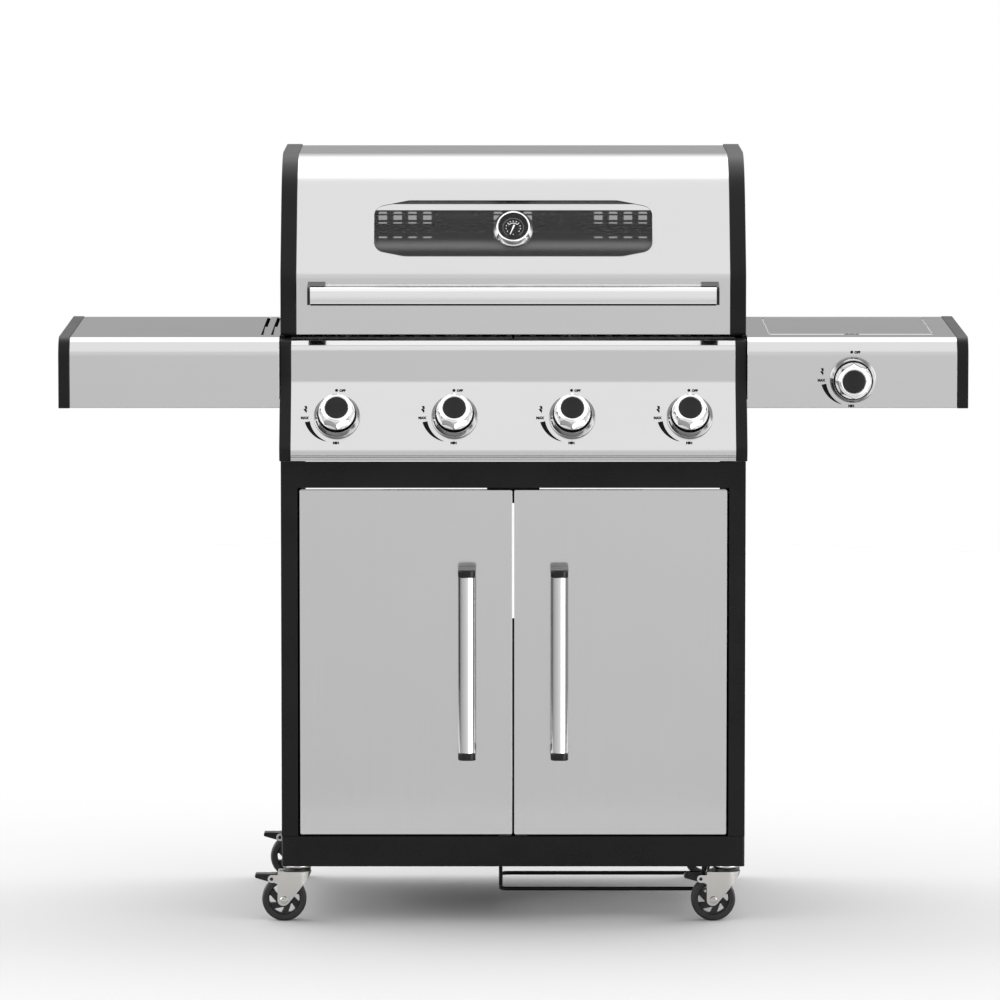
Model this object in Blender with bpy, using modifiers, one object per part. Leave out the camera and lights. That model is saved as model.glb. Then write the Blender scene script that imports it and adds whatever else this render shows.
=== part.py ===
"""Gas barbecue grill on a cabinet with casters: metres, +Z up, front towards -Y.

The parts are laid out with x = 0 in the middle of the cabinet, y = 0 at the front of the side
shelves and z = 0 on the floor. The root empty then moves that layout so that the origin is
under the middle of the whole grill.
"""
from math import atan2, copysign, cos, pi, radians, sin, tan

import bmesh
import bpy
from mathutils import Euler, Matrix, Vector

GRILL_NAME = "gas_barbecue_grill"
LAYOUT_MIDDLE_Y = 0.2232         # middle of the grill's depth, seen from the front of the shelves
GAP = 0.0003                     # clearance between pieces that touch
SHARP = radians(35)              # edges that turn by less are shaded smooth

# Cabinet
CABINET_HALF = 0.3437
CABINET_FRONT = 0.025
CABINET_BACK = 0.505
CABINET_TOP = 0.690
POST = 0.0244                    # width of each corner angle
FRAME_WALL = 0.002
DOOR_HEAD = 0.651                # underside of the top rails
BASE_BOTTOM = 0.0857
BASE_TOP = 0.1307
BACK_PANEL_TOP = 0.400
PANEL_SHEET = 0.0012

# Doors
DOOR_OUTER = 0.316
DOOR_INNER = 0.0015
DOOR_BOTTOM = 0.134
DOOR_TOP = 0.6476
DOOR_DEPTH = 0.016
DOOR_SHEET = 0.0012
DOOR_PIVOT_X = 0.3125
DOOR_PIVOT_Y = 0.0295
DOOR_HANDLE_X = 0.0683
DOOR_HANDLE_Z = (0.2515, 0.5345)
DOOR_HANDLE_REACH = 0.056
DOOR_HANDLE_BAR = (0.0250, 0.018)    # width and depth of the bar
DOOR_HANDLE_CAP = (0.0266, 0.0115)   # width and height of each end block

# Firebox
FIREBOX_HALF = 0.340
FIREBOX_Y = (0.052, 0.478)
FIREBOX_SIDE_TOP = 0.8735
FIREBOX_RIM = 0.869
FIREBOX_FLOOR = (0.716, 0.718)
GRATE_Z = (0.860, 0.8722)
GRATE_PITCH = 0.0227
GRATE_BAR = 0.009
BURNER_RADIUS = 0.012

# Lid
LID_HALF = 0.3441
LID_CAP = 0.0235
LID_FRONT = 0.051
LID_BOTTOM = 0.875
LID_BEND = 0.967                 # height of the bend between the upright and the sloping front
LID_SLOPE_END = (0.110, 1.068)
LID_TOP = 1.135
LID_BACK = 0.470
LID_BACK_BOTTOM = 0.892
LID_CROWN_RADIUS = 0.138
LID_SHEET = 0.0012
LID_CAP_PROUD = 0.001
LID_HINGE = (0.462, 0.893)
VENT_ROWS = ((1.013, 1.031), (0.986, 1.000))
VENT_WIDTH = 0.013
VENT_PITCH = 0.0227
VENT_GROUPS = ((-0.199, 4), (-VENT_PITCH, 3), (0.131, 4))   # first slot and number of slots
WINDOW_Z = 1.030                 # height of the window's middle on the sloping front
GLASS = 0.004
GLASS_FRONT = -0.0027            # the glass's front surface, behind the hood's outer surface
COLD = radians(158)              # the needle's turn from upright when the lid is cold

# Lid handle
HANDLE_HALF = 0.2992
HANDLE_Z = (0.924, 0.9495)
HANDLE_DEPTH = 0.016
BRACKET_INNER = 0.2778
BRACKET_OUTER = 0.3032

# Control panel
PANEL_HALF = 0.3271
PANEL_UPRIGHT = 0.010
PANEL_BEND = 0.809               # height where the upright part meets the sloping face
PANEL_TOE = (-0.037, 0.716)
PANEL_TOP = 0.871
PANEL_BOTTOM = 0.696
PANEL_BACK = 0.048
KNOB_X = (-0.2595, -0.0866, 0.0866, 0.2595)
KNOB_Z = 0.760

# Side shelves
SHELF_INNER = 0.3447
SHELF_OUTER = 0.670
SHELF_CAP = 0.0165
SHELF_Z = (0.771, 0.875)
SHELF_DEPTH = 0.427
SHELF_SHEET = 0.0012
SHELF_ROUND = 0.026
SIDE_KNOB_X = 0.500
SIDE_KNOB_Z = 0.8137
SIDE_WELL = ((0.380, 0.070), (0.622, 0.384))

# Knobs and valves, measured out along each knob's axis from the surface that it stands on
KNOB_BACK = 0.0145
KNOB_FRONT = 0.039
KNOB_RADIUS = 0.027
KNOB_FACE_RADIUS = 0.021
STEM_RADIUS = 0.004
STEM_SPAN = (-0.034, 0.027)

# Casters
SWIVEL_Y = (0.060, 0.479)
SWIVEL_X = (-0.321, 0.318)
TRAIL = 0.020
WHEEL_RADIUS = 0.033
WHEEL_WIDTH = 0.022
AXLE_RADIUS = 0.004
FORK_TOP = 0.0854
BRAKE_PIVOT = (0.041, 0.067)     # behind the swivel axis, above the floor
BRAKE_PIN = 0.0016


# ---------------------------------------------------------------- outlines
def rounded(points, radii, steps=4, closed=True):
    """The outline with each corner replaced by an arc; radii is one radius, or one a corner."""
    count = len(points)
    if not isinstance(radii, (list, tuple)):
        radii = [radii] * count
    outline = []
    for i, (corner, radius) in enumerate(zip(points, radii)):
        corner = Vector(corner)
        if radius == 0 or (not closed and i in (0, count - 1)):
            outline.append(tuple(corner))
            continue
        back = (Vector(points[i - 1]) - corner).normalized()
        ahead = (Vector(points[(i + 1) % count]) - corner).normalized()
        half = back.angle(ahead) / 2
        start = corner + back * radius / tan(half)
        centre = corner + (back + ahead).normalized() * radius / sin(half)
        turn = back.angle_signed(ahead)
        sweep = (pi - 2 * half) * (1 if turn > 0 else -1)
        arm = start - centre
        for step in range(steps + 1):
            outline.append(tuple(centre + Matrix.Rotation(sweep * step / steps, 2) @ arm))
    return outline


def rectangle(low, high):
    """Corners of a rectangle, anticlockwise."""
    return [(low[0], low[1]), (high[0], low[1]), (high[0], high[1]), (low[0], high[1])]


def circle(radius, sides, centre=(0, 0)):
    """Points of a circle, anticlockwise."""
    return [(centre[0] + radius * cos(2 * pi * i / sides), centre[1] + radius * sin(2 * pi * i / sides))
            for i in range(sides)]


def grown(points, distance):
    """A closed outline moved outwards by a distance, or inwards if it is negative."""
    area = sum(a[0] * b[1] - b[0] * a[1] for a, b in zip(points, points[1:] + points[:1]))
    distance = copysign(distance, distance * area)
    outline = []
    for i, point in enumerate(points):
        before = (Vector(point) - Vector(points[i - 1])).normalized()
        after = (Vector(points[(i + 1) % len(points)]) - Vector(point)).normalized()
        normal_a = Vector((before.y, -before.x))
        normal_b = Vector((after.y, -after.x))
        shift = (normal_a + normal_b) / (1 + normal_a.dot(normal_b))
        outline.append(tuple(Vector(point) + shift * distance))
    return outline


# ---------------------------------------------------------------- scene and placing
def collection(name):
    """A new collection in the scene."""
    made = bpy.data.collections.new(name)
    bpy.context.scene.collection.children.link(made)
    return made


def finish(name, color, roughness, metallic, alpha=1.0):
    """A Principled material."""
    material = bpy.data.materials.new(name)
    material.use_nodes = True
    shader = material.node_tree.nodes["Principled BSDF"]
    shader.inputs["Base Color"].default_value = (*color, 1.0)
    shader.inputs["Roughness"].default_value = roughness
    shader.inputs["Metallic"].default_value = metallic
    shader.inputs["Alpha"].default_value = alpha
    return material


def empty(name, at, parent=None, turn=(0, 0, 0)):
    """A joint's or a face's own frame."""
    made = bpy.data.objects.new(name, None)
    made.empty_display_size = 0.02
    made.location = at
    made.rotation_euler = turn
    made.parent = parent
    GUIDES.objects.link(made)
    return made


def place(name, mesh, material, parent, at=(0, 0, 0), turn=(0, 0, 0)):
    """Put a mesh in the scene; with no material it is a cutter or something to join."""
    piece = bpy.data.objects.new(name, mesh)
    piece.location = at
    piece.rotation_euler = turn
    piece.parent = parent
    if parent is not ROOT and not any(parent.rotation_euler):
        piece.matrix_parent_inverse = Matrix.Translation(-parent.location)
    if material is None:
        CUTTERS.objects.link(piece)
        piece.hide_render = True
        piece.display_type = "WIRE"
    else:
        mesh.materials.append(material)
        PARTS.objects.link(piece)
    return piece


def box(name, low, high, material=None, parent=None):
    """A box between two corners."""
    shape = bmesh.new()
    size = [b - a for a, b in zip(low, high)]
    middle = [(a + b) / 2 for a, b in zip(low, high)]
    bmesh.ops.create_cube(shape, size=1.0, matrix=Matrix.Diagonal((*size, 1.0)))
    mesh = bpy.data.meshes.new(name)
    shape.to_mesh(mesh)
    shape.free()
    return place(name, mesh, material, parent or ROOT, at=middle)


def curve_mesh(name, curve):
    """A curve's surface as a mesh with its caps welded on and its faces pointing out."""
    drawn = bpy.data.objects.new(name, curve)
    GUIDES.objects.link(drawn)
    depsgraph = bpy.context.evaluated_depsgraph_get()
    mesh = bpy.data.meshes.new_from_object(drawn.evaluated_get(depsgraph))
    bpy.data.objects.remove(drawn, do_unlink=True)
    shape = bmesh.new()
    shape.from_mesh(mesh)
    bmesh.ops.remove_doubles(shape, verts=shape.verts, dist=1e-6)
    bmesh.ops.recalc_face_normals(shape, faces=shape.faces)
    shape.to_mesh(mesh)
    shape.free()
    mesh.materials.clear()
    mesh.shade_smooth()
    mesh.set_sharp_from_angle(angle=SHARP)
    return mesh


FLAT = (0, 0, 0)                          # outline in (x, y), thickness along z
SIDEWAYS = (radians(90), 0, radians(90))  # outline in (y, z), thickness along x
FACING = (radians(90), 0, 0)              # outline in (x, z), thickness along y


def plate(name, outlines, thickness, material=None, parent=None, at=(0, 0, 0), turn=FLAT):
    """A flat solid: the first outline is its edge and the others are holes."""
    curve = bpy.data.curves.new(name, "CURVE")
    curve.dimensions = "2D"
    curve.fill_mode = "BOTH"
    curve.extrude = thickness / 2
    for outline in outlines:
        spline = curve.splines.new("POLY")
        spline.points.add(len(outline) - 1)
        spline.use_cyclic_u = True
        for point, (u, v) in zip(spline.points, outline):
            point.co = (u, v, 0, 1)
    return place(name, curve_mesh(name, curve), material, parent or ROOT, at, turn)


def wire(name, path, radius, material=None, parent=None, closed=False, at=(0, 0, 0), turn=FLAT):
    """A round rod along a path of points."""
    curve = bpy.data.curves.new(name, "CURVE")
    curve.dimensions = "3D"
    curve.bevel_depth = radius
    curve.bevel_resolution = 2
    curve.use_fill_caps = True
    spline = curve.splines.new("POLY")
    spline.points.add(len(path) - 1)
    spline.use_cyclic_u = closed
    for point, place_at in zip(spline.points, path):
        point.co = (*place_at, 1)
    return place(name, curve_mesh(name, curve), material, parent or ROOT, at, turn)


def sheet(name, profile, half_width, thickness, material, parent=None):
    """A folded sheet: an open profile in (y, z) drawn along x, its thickness on the inner side."""
    shape = bmesh.new()
    verts = [shape.verts.new((-half_width, y, z)) for y, z in profile]
    edges = [shape.edges.new(pair) for pair in zip(verts, verts[1:])]
    drawn = bmesh.ops.extrude_edge_only(shape, edges=edges)["geom"]
    moved = [item for item in drawn if isinstance(item, bmesh.types.BMVert)]
    bmesh.ops.translate(shape, verts=moved, vec=(2 * half_width, 0, 0))
    shape.normal_update()
    along = verts[1].co - verts[0].co
    if verts[0].link_faces[0].normal.dot(Vector((1, 0, 0)).cross(along)) < 0:
        bmesh.ops.reverse_faces(shape, faces=shape.faces)
    mesh = bpy.data.meshes.new(name)
    shape.to_mesh(mesh)
    shape.free()
    piece = place(name, mesh, material, parent or ROOT)
    solid = piece.modifiers.new("thickness", "SOLIDIFY")
    solid.thickness = thickness
    solid.offset = -1.0
    solid.use_even_offset = True
    return piece


def turned(name, profile, material=None, parent=None, at=(0, 0, 0), turn=FLAT, steps=32, ring=False):
    """A turned solid: a profile in (radius, height), running down its outer side, spun about z."""
    shape = bmesh.new()
    verts = [shape.verts.new((radius, 0, height)) for radius, height in profile]
    for pair in zip(verts, verts[1:] + (verts[:1] if ring else [])):
        shape.edges.new(pair)
    mesh = bpy.data.meshes.new(name)
    shape.to_mesh(mesh)
    shape.free()
    piece = place(name, mesh, material, parent or ROOT, at, turn)
    spin = piece.modifiers.new("spin", "SCREW")
    spin.axis = "Z"
    spin.angle = 2 * pi
    spin.steps = steps
    spin.render_steps = steps
    spin.use_merge_vertices = True
    spin.merge_threshold = 0.00001
    spin.use_smooth_shade = True
    return piece


def rod(name, radius, low, high, material=None, parent=None, at=(0, 0, 0), turn=FLAT, sides=12):
    """A plain round bar along its own z."""
    profile = [(0, high), (radius, high), (radius, low), (0, low)]
    return turned(name, profile, material, parent, at, turn, sides)


def boolean(piece, tool, operation, solver="EXACT"):
    """Combine a piece with another shape."""
    change = piece.modifiers.new(tool.name, "BOOLEAN")
    change.operation = operation
    change.object = tool
    change.solver = solver


def cut(piece, *tools, solver="EXACT"):
    """Take shapes away from a piece."""
    for tool in tools:
        boolean(piece, tool, "DIFFERENCE", solver)


def join(piece, *tools):
    """Add shapes to a piece."""
    for tool in tools:
        boolean(piece, tool, "UNION")


def tray(name, outline, span, wall, floor, opening, material, parent=None, turn=FLAT, solver="EXACT"):
    """An outline's solid over a span along its axis, hollowed from its high (1) or low (-1) end."""
    depth = span[1] - span[0]
    along = Euler(turn).to_matrix()
    middle = along @ Vector((0, 0, sum(span) / 2))
    inward = along @ Vector((0, 0, opening * floor))
    body = plate(name, [outline], depth, material, parent, middle, turn)
    hollow = plate(f"{name}_hollow", [grown(outline, -wall)], depth, None, parent, middle + inward, turn)
    cut(body, hollow, solver=solver)
    return body


# ---------------------------------------------------------------- cabinet
def cabinet():
    """Corner angles and top rails bent from sheet, closed in by side and back panels."""
    inner_half = CABINET_HALF - FRAME_WALL
    frame = box("cabinet_frame", (-CABINET_HALF, CABINET_FRONT, BASE_TOP + GAP),
                (CABINET_HALF, CABINET_BACK, CABINET_TOP), BLACK)
    through = box("frame_inside", (-inner_half, CABINET_FRONT + FRAME_WALL, 0),
                  (inner_half, CABINET_BACK - FRAME_WALL, 1))
    windows = box("frame_front_back", (-CABINET_HALF + POST, -1, 0), (CABINET_HALF - POST, 1, DOOR_HEAD))
    sides = box("frame_sides", (-1, CABINET_FRONT + POST, 0), (1, CABINET_BACK - POST, DOOR_HEAD))
    cut(frame, through, windows, sides)

    for side, name in ((-1, "left"), (1, "right")):
        faces = sorted(side * x for x in (inner_half - GAP, inner_half - GAP - PANEL_SHEET))
        box(f"side_panel_{name}", (faces[0], CABINET_FRONT + 0.003, BASE_TOP + GAP),
            (faces[1], CABINET_BACK - 0.0045, CABINET_TOP - 0.001), BLACK)
    rear = CABINET_BACK - FRAME_WALL - GAP
    box("back_panel", (-inner_half + GAP, rear - PANEL_SHEET, BASE_TOP + GAP),
        (inner_half - GAP, rear, BACK_PANEL_TOP), BLACK)


def base():
    """Bottom tray, with a round hole for the gas bottle, and the wire loop that the bottle stands in."""
    outline = rounded(rectangle((-CABINET_HALF, CABINET_FRONT), (CABINET_HALF, CABINET_BACK)), 0.004, 2)
    body = tray("base_tray", outline, (BASE_BOTTOM, BASE_TOP), FRAME_WALL, FRAME_WALL, 1, BLACK)
    bottle_x, bottle_y, bottle_radius = 0.114, 0.2275, 0.122
    hole = plate("bottle_hole", [circle(bottle_radius, 32)], 0.05, at=(bottle_x, bottle_y, BASE_BOTTOM))
    cut(body, hole)

    left, right = -0.0185, 0.290
    front, back = 0.150, 0.305
    loop_z, rod_radius = 0.033, 0.003
    loop = rounded(rectangle((left, front), (right, back)), 0.012, 4)
    holder = wire("bottle_holder", [(x, y, loop_z) for x, y in loop], rod_radius, BLACK, closed=True)
    for x in (left, right):
        for y in (front + 0.020, back - 0.020):
            leg = rod(f"holder_leg_{x}_{y}", rod_radius, loop_z, BASE_BOTTOM - GAP, at=(x, y, 0), sides=8)
            join(holder, leg)


def doors():
    """Two pressed doors on upright pivots at their outer edges, each with a bar handle."""
    for side, name in ((-1, "left"), (1, "right")):
        hinge = empty(f"door_{name}_hinge", (side * DOOR_PIVOT_X, DOOR_PIVOT_Y, 0), ROOT)
        edges = sorted((side * DOOR_INNER, side * DOOR_OUTER))
        outline = rounded(rectangle((edges[0], DOOR_BOTTOM), (edges[1], DOOR_TOP)), 0.002, 2)
        depth = (-CABINET_FRONT - DOOR_DEPTH, -CABINET_FRONT)
        tray(f"door_{name}", outline, depth, DOOR_SHEET, DOOR_SHEET, -1, STEEL, hinge, FACING)
        door_handle(name, side, hinge)


def door_handle(name, side, hinge):
    """An upright oval bar between two blocks that stand on the door."""
    low, high = DOOR_HANDLE_Z
    cap_width, cap_height = DOOR_HANDLE_CAP
    front = CABINET_FRONT - DOOR_HANDLE_REACH
    bar_width, bar_depth = DOOR_HANDLE_BAR
    half = bar_width / 2
    recess = 0.0008
    oval = rounded(rectangle((-half, front + recess), (half, front + recess + bar_depth)), 0.0088, 4)
    bar = plate(f"door_handle_{name}", [oval], high - low - cap_height, STEEL, hinge,
                at=(side * DOOR_HANDLE_X, 0, (low + high) / 2))
    cap = rounded(rectangle((-cap_width / 2, front), (cap_width / 2, CABINET_FRONT - GAP)), 0.003, 2)
    for end, z in (("bottom", low + cap_height / 2), ("top", high - cap_height / 2)):
        block = plate(f"door_handle_{name}_{end}", [cap], cap_height, None, hinge,
                      at=(side * DOOR_HANDLE_X, 0, z))
        join(bar, block)


# ---------------------------------------------------------------- cooking chamber
def firebox():
    """Steel tub with an open tunnel under its floor for the grease tray."""
    front, back = FIREBOX_Y
    wall = 0.002
    floor_bottom, floor_top = FIREBOX_FLOOR
    tub = box("firebox", (-FIREBOX_HALF, front, CABINET_TOP + GAP), (FIREBOX_HALF, back, FIREBOX_SIDE_TOP),
              BLACK)
    inside = box("firebox_inside", (-FIREBOX_HALF + wall, front + wall, floor_top),
                 (FIREBOX_HALF - wall, back - wall, 1))
    rim = box("firebox_rim", (-FIREBOX_HALF + wall, 0, FIREBOX_RIM), (FIREBOX_HALF - wall, 1, 1))
    tunnel = box("firebox_tunnel", (-FIREBOX_HALF + wall, front + wall, 0),
                 (FIREBOX_HALF - wall, 1, floor_bottom))
    drain = box("firebox_drain", (-0.15, 0.16, 0.70), (0.15, 0.38, 0.73))
    cut(tub, inside, rim, tunnel, drain)
    for index, x in enumerate(KNOB_X, 1):
        cut(tub, rod(f"burner_hole_{index}", 0.0150, -0.01, 0.01, at=(x, front, 0.738), turn=FACING))


def grates():
    """Two cast grates that lie side by side, their bars running from front to back."""
    front, back = FIREBOX_Y[0] + 0.004, FIREBOX_Y[1] - 0.004
    rim, cross = 0.010, 0.012
    middle = (front + back) / 2
    bars = 14
    width = bars * GRATE_PITCH + GRATE_BAR
    slot_half = (GRATE_PITCH - GRATE_BAR) / 2
    for side, name in ((-1, "left"), (1, "right")):
        centre = side * (width / 2 + 0.0015)
        outlines = [rectangle((-width / 2, front), (width / 2, back))]
        for bar in range(bars):
            x = (bar - (bars - 1) / 2) * GRATE_PITCH
            for low, high in ((front + rim, middle - cross / 2), (middle + cross / 2, back - rim)):
                outlines.append(rectangle((x - slot_half, low), (x + slot_half, high)))
        plate(f"cooking_grate_{name}", outlines, GRATE_Z[1] - GRATE_Z[0], CAST_IRON,
              at=(centre, 0, sum(GRATE_Z) / 2))


def burners():
    """A burner tube behind each knob: its mouth faces the valve and it climbs to the firebox."""
    mouth_z, flame_z = 0.738, 0.790
    for index, x in enumerate(KNOB_X, 1):
        bend = rounded([(0.049, mouth_z), (0.082, mouth_z), (0.122, flame_z), (0.448, flame_z)], 0.035, 4,
                       closed=False)
        wire(f"burner_{index}", [(x, y, z) for y, z in bend], BURNER_RADIUS, BURNER_STEEL)


def warming_rack():
    """A raised grid of wires on four legs."""
    half, front, back, height, wire_size = 0.300, 0.270, 0.440, 1.014, 0.004
    outlines = [rectangle((-half, front), (half, back))]
    columns, rows = 12, 2
    cell_x = (2 * half - wire_size) / columns
    cell_y = (back - front - wire_size) / rows
    for column in range(columns):
        for row in range(rows):
            x = -half + wire_size + column * cell_x
            y = front + wire_size + row * cell_y
            outlines.append(rectangle((x, y), (x + cell_x - wire_size, y + cell_y - wire_size)))
    rack = plate("warming_rack", outlines, wire_size, STEEL_WIRE, at=(0, 0, height))
    for x in (-half, half - wire_size):
        for y in (front + 0.001, back - wire_size - 0.001):
            leg = box(f"rack_leg_{x}_{y}", (x + 0.0005, y, GRATE_Z[1] + GAP),
                      (x + wire_size - 0.0005, y + wire_size - 0.001, height))
            join(rack, leg)


def grease_tray():
    """Shallow tray under the firebox that draws out to the back."""
    outline = rounded(rectangle((-0.20, 0.070), (0.20, 0.500)), 0.012, 3)
    slide = empty("grease_tray_slide", (0, 0.285, 0.70), ROOT)
    tray("grease_tray", outline, (CABINET_TOP + 2 * GAP, 0.7135), 0.0012, 0.0012, 1, ALUMINIUM, slide)


def gas_manifold():
    """Gas pipe behind the control panel, with a valve body behind each knob and the inlet at its end."""
    pipe_y, pipe_z, pipe_radius = 0.0335, 0.7375, 0.008
    pipe = rod("gas_manifold", pipe_radius, -0.300, 0.300, BRASS, at=(0, pipe_y, pipe_z),
               turn=(0, radians(90), 0))
    for index, x in enumerate(KNOB_X, 1):
        valve = rod(f"valve_body_{index}", 0.011, -0.058, STEM_SPAN[0] - GAP, at=panel_point(x),
                    turn=(PANEL_TURN, 0, 0))
        join(pipe, valve)
    inlet = rod("gas_inlet", 0.006, -0.034, 0.0, at=(-0.285, pipe_y, pipe_z), turn=(0, 0, 0))
    nut = rod("gas_inlet_nut", 0.0105, -0.028, -0.014, at=(-0.285, pipe_y, pipe_z), sides=6)
    join(pipe, inlet, nut)


# ---------------------------------------------------------------- control panel and knobs
PANEL_TURN = pi / 2 - atan2(PANEL_UPRIGHT - PANEL_TOE[0], PANEL_BEND - PANEL_TOE[1])


def panel_point(x):
    """The point of the sloping face at a knob's height."""
    share = (PANEL_BEND - KNOB_Z) / (PANEL_BEND - PANEL_TOE[1])
    return (x, PANEL_UPRIGHT + share * (PANEL_TOE[0] - PANEL_UPRIGHT), KNOB_Z)


def control_panel():
    """Folded steel front with four valve holes, between two black end pieces."""
    corners = [(PANEL_BACK, PANEL_BOTTOM), (-0.031, PANEL_BOTTOM), PANEL_TOE, (PANEL_UPRIGHT, PANEL_BEND),
               (PANEL_UPRIGHT, PANEL_TOP), (PANEL_BACK, PANEL_TOP)]
    radii = [0, 0.006, 0.008, 0.040, 0.009, 0]
    front = sheet("control_panel", rounded(corners, radii, 5, closed=False), PANEL_HALF, 0.0012, STEEL)
    for index, x in enumerate(KNOB_X, 1):
        cut(front, rod(f"stem_hole_{index}", 0.007, -0.01, 0.01, at=panel_point(x), turn=(PANEL_TURN, 0, 0)))

    outline = grown(rounded(corners, radii, 4), 0.0006)
    for side, name in ((-1, "left"), (1, "right")):
        span = sorted((side * LID_HALF, side * (PANEL_HALF + GAP)))
        tray(f"panel_cap_{name}", outline, span, 0.0025, 0.0025, -side, BLACK, turn=SIDEWAYS)


def knob(index, at, turn):
    """A knob that turns with its valve stem and pushes in along it."""
    frame = empty(f"knob_{index}_axis", at, ROOT, (turn, 0, 0))
    rod(f"valve_stem_{index}", STEM_RADIUS, *STEM_SPAN, BRASS, frame, sides=12)
    flare = 0.003
    profile = [(0, KNOB_FRONT - 0.0015), (0.0172, KNOB_FRONT - 0.0015), (0.0176, KNOB_FRONT),
               (KNOB_FACE_RADIUS - 0.001, KNOB_FRONT), (KNOB_FACE_RADIUS, KNOB_FRONT - 0.001),
               (KNOB_RADIUS, KNOB_BACK + flare), (KNOB_RADIUS, KNOB_BACK),
               (STEM_RADIUS + 0.0005, KNOB_BACK), (STEM_RADIUS + 0.0005, STEM_SPAN[1] + 0.005),
               (0, STEM_SPAN[1] + 0.005)]
    turned(f"knob_{index}", profile, CHROME, frame, steps=20)


# ---------------------------------------------------------------- lid
def lid_corners():
    """The lid's outer corners in (y, z), up the front, over the top and down the back."""
    rise = LID_TOP - LID_BEND
    slope = (LID_SLOPE_END[0] - LID_FRONT) / (LID_SLOPE_END[1] - LID_BEND)
    return [(LID_FRONT, LID_BOTTOM), (LID_FRONT, LID_BEND), (LID_FRONT + rise * slope, LID_TOP),
            (LID_BACK, LID_TOP), (LID_BACK, LID_BACK_BOTTOM)]


LID_TURN = pi / 2 - atan2(LID_SLOPE_END[0] - LID_FRONT, LID_SLOPE_END[1] - LID_BEND)
WINDOW_CORNERS = [(0.161, 0.0452), (0.206, 0.0365), (0.206, -0.0355), (0.161, -0.0452)]
WINDOW_RADII = [0, 0.017, 0.017, 0]


def window_outline():
    """The window, wider than tall, with drawn-in corners; (x, distance up the slope)."""
    right = WINDOW_CORNERS[::-1]
    left = [(-x, v) for x, v in WINDOW_CORNERS]
    return rounded(right + left, WINDOW_RADII[::-1] + WINDOW_RADII, 5)


def lid():
    """Hood with its window, end caps, handle and thermometer, on a hinge along its back edge."""
    hinge = empty("lid_hinge", (0, *LID_HINGE), ROOT)
    profile = rounded(lid_corners(), [0, 0.030, LID_CROWN_RADIUS, 0.040, 0], 8, closed=False)
    hood = sheet("lid_hood", profile, LID_HALF - LID_CAP - GAP, LID_SHEET, STEEL, hinge)
    slope = (LID_SLOPE_END[0] - LID_FRONT) / (LID_SLOPE_END[1] - LID_BEND)
    face_at = (0, LID_FRONT + (WINDOW_Z - LID_BEND) * slope, WINDOW_Z)
    face = empty("lid_face", Vector(face_at) - hinge.location, hinge, (LID_TURN, 0, 0))
    cut(hood, plate("window_hole", [window_outline()], 0.03, parent=face))
    for low, high in VENT_ROWS:
        for first, count in VENT_GROUPS:
            for column in range(count):
                x = first + column * VENT_PITCH
                cut(hood, box(f"vent_{low}_{x}", (x - VENT_WIDTH / 2, LID_BACK - 0.01, low),
                              (x + VENT_WIDTH / 2, LID_BACK + 0.01, high), parent=hinge))

    plate("lid_glass", [grown(window_outline(), 0.010), circle(0.006, 12)], GLASS, GLASS_TINT, face,
          at=(0, 0, GLASS_FRONT - GLASS / 2))
    lid_caps(hinge)
    lid_handle(hinge)
    thermometer(face)


def lid_caps(hinge):
    """Hollow black end caps that close the hood's open ends and stand a little proud of it."""
    sill = LID_BOTTOM + LID_CAP_PROUD
    corners = [(LID_FRONT, sill), *lid_corners()[1:-1], (LID_BACK, sill)]
    radii = [0.003, 0.030, LID_CROWN_RADIUS, 0.040, 0.010]
    outline = grown(rounded(corners, radii, 6), LID_CAP_PROUD)
    for side, name in ((-1, "left"), (1, "right")):
        span = sorted((side * LID_HALF, side * (LID_HALF - LID_CAP)))
        tray(f"lid_cap_{name}", outline, span, 0.004, 0.003, -side, BLACK, hinge, SIDEWAYS, "MANIFOLD")


def lid_handle(hinge):
    """A bar with a curved front, held by a bracket at each end."""
    low, high = HANDLE_Z
    bar_outline = rounded([(0.0, low), (HANDLE_DEPTH, low), (HANDLE_DEPTH, high), (0.0, high)],
                          [0.010, 0.003, 0.003, 0.010], 4)
    plate("lid_handle_bar", [bar_outline], 2 * HANDLE_HALF, STEEL, hinge, turn=SIDEWAYS)
    for side, name in ((-1, "left"), (1, "right")):
        back = LID_FRONT - GAP
        end, rear = HANDLE_HALF + GAP, HANDLE_DEPTH + GAP
        corners = [(end, 0.001), (BRACKET_OUTER, 0.001), (BRACKET_OUTER, back), (BRACKET_INNER, back),
                   (BRACKET_INNER, rear), (end, rear)]
        outline = [(side * x, y) for x, y in corners]
        plate(f"lid_handle_bracket_{name}", [outline], high - low - 0.001, BLACK, hinge,
              at=(0, 0, (low + high) / 2))


def thermometer(face):
    """Round dial gauge on the glass, its probe reaching through into the lid, with a turning needle."""
    seat = GLASS_FRONT + GAP
    top = 0.011
    dial = 0.006
    dial_radius, lip_radius, foot_radius = 0.0225, 0.0245, 0.0298
    shank_radius, probe_radius, probe_end = 0.0045, 0.0030, -0.070
    profile = [(0, dial), (dial_radius, dial), (dial_radius, top), (lip_radius, top),
               (foot_radius, seat + 0.003), (foot_radius, seat), (shank_radius, seat),
               (shank_radius, seat - 0.012), (probe_radius, seat - 0.014), (probe_radius, probe_end),
               (0, probe_end)]
    turned("thermometer", profile, CHROME, face, steps=24)
    pivot = empty("needle_pivot", (0, 0, dial), face)
    tip, tail = 0.0125, 0.0040
    needle = [(-0.0012, -tail), (0.0012, -tail), (0.0004, tip), (-0.0004, tip)]
    pointer = plate("thermometer_needle", [needle], 0.0006, WHITE, pivot, at=(0, 0, 0.0012))
    pointer.rotation_euler.z = COLD
    pointer.matrix_parent_inverse = Matrix.Identity(4)


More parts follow.
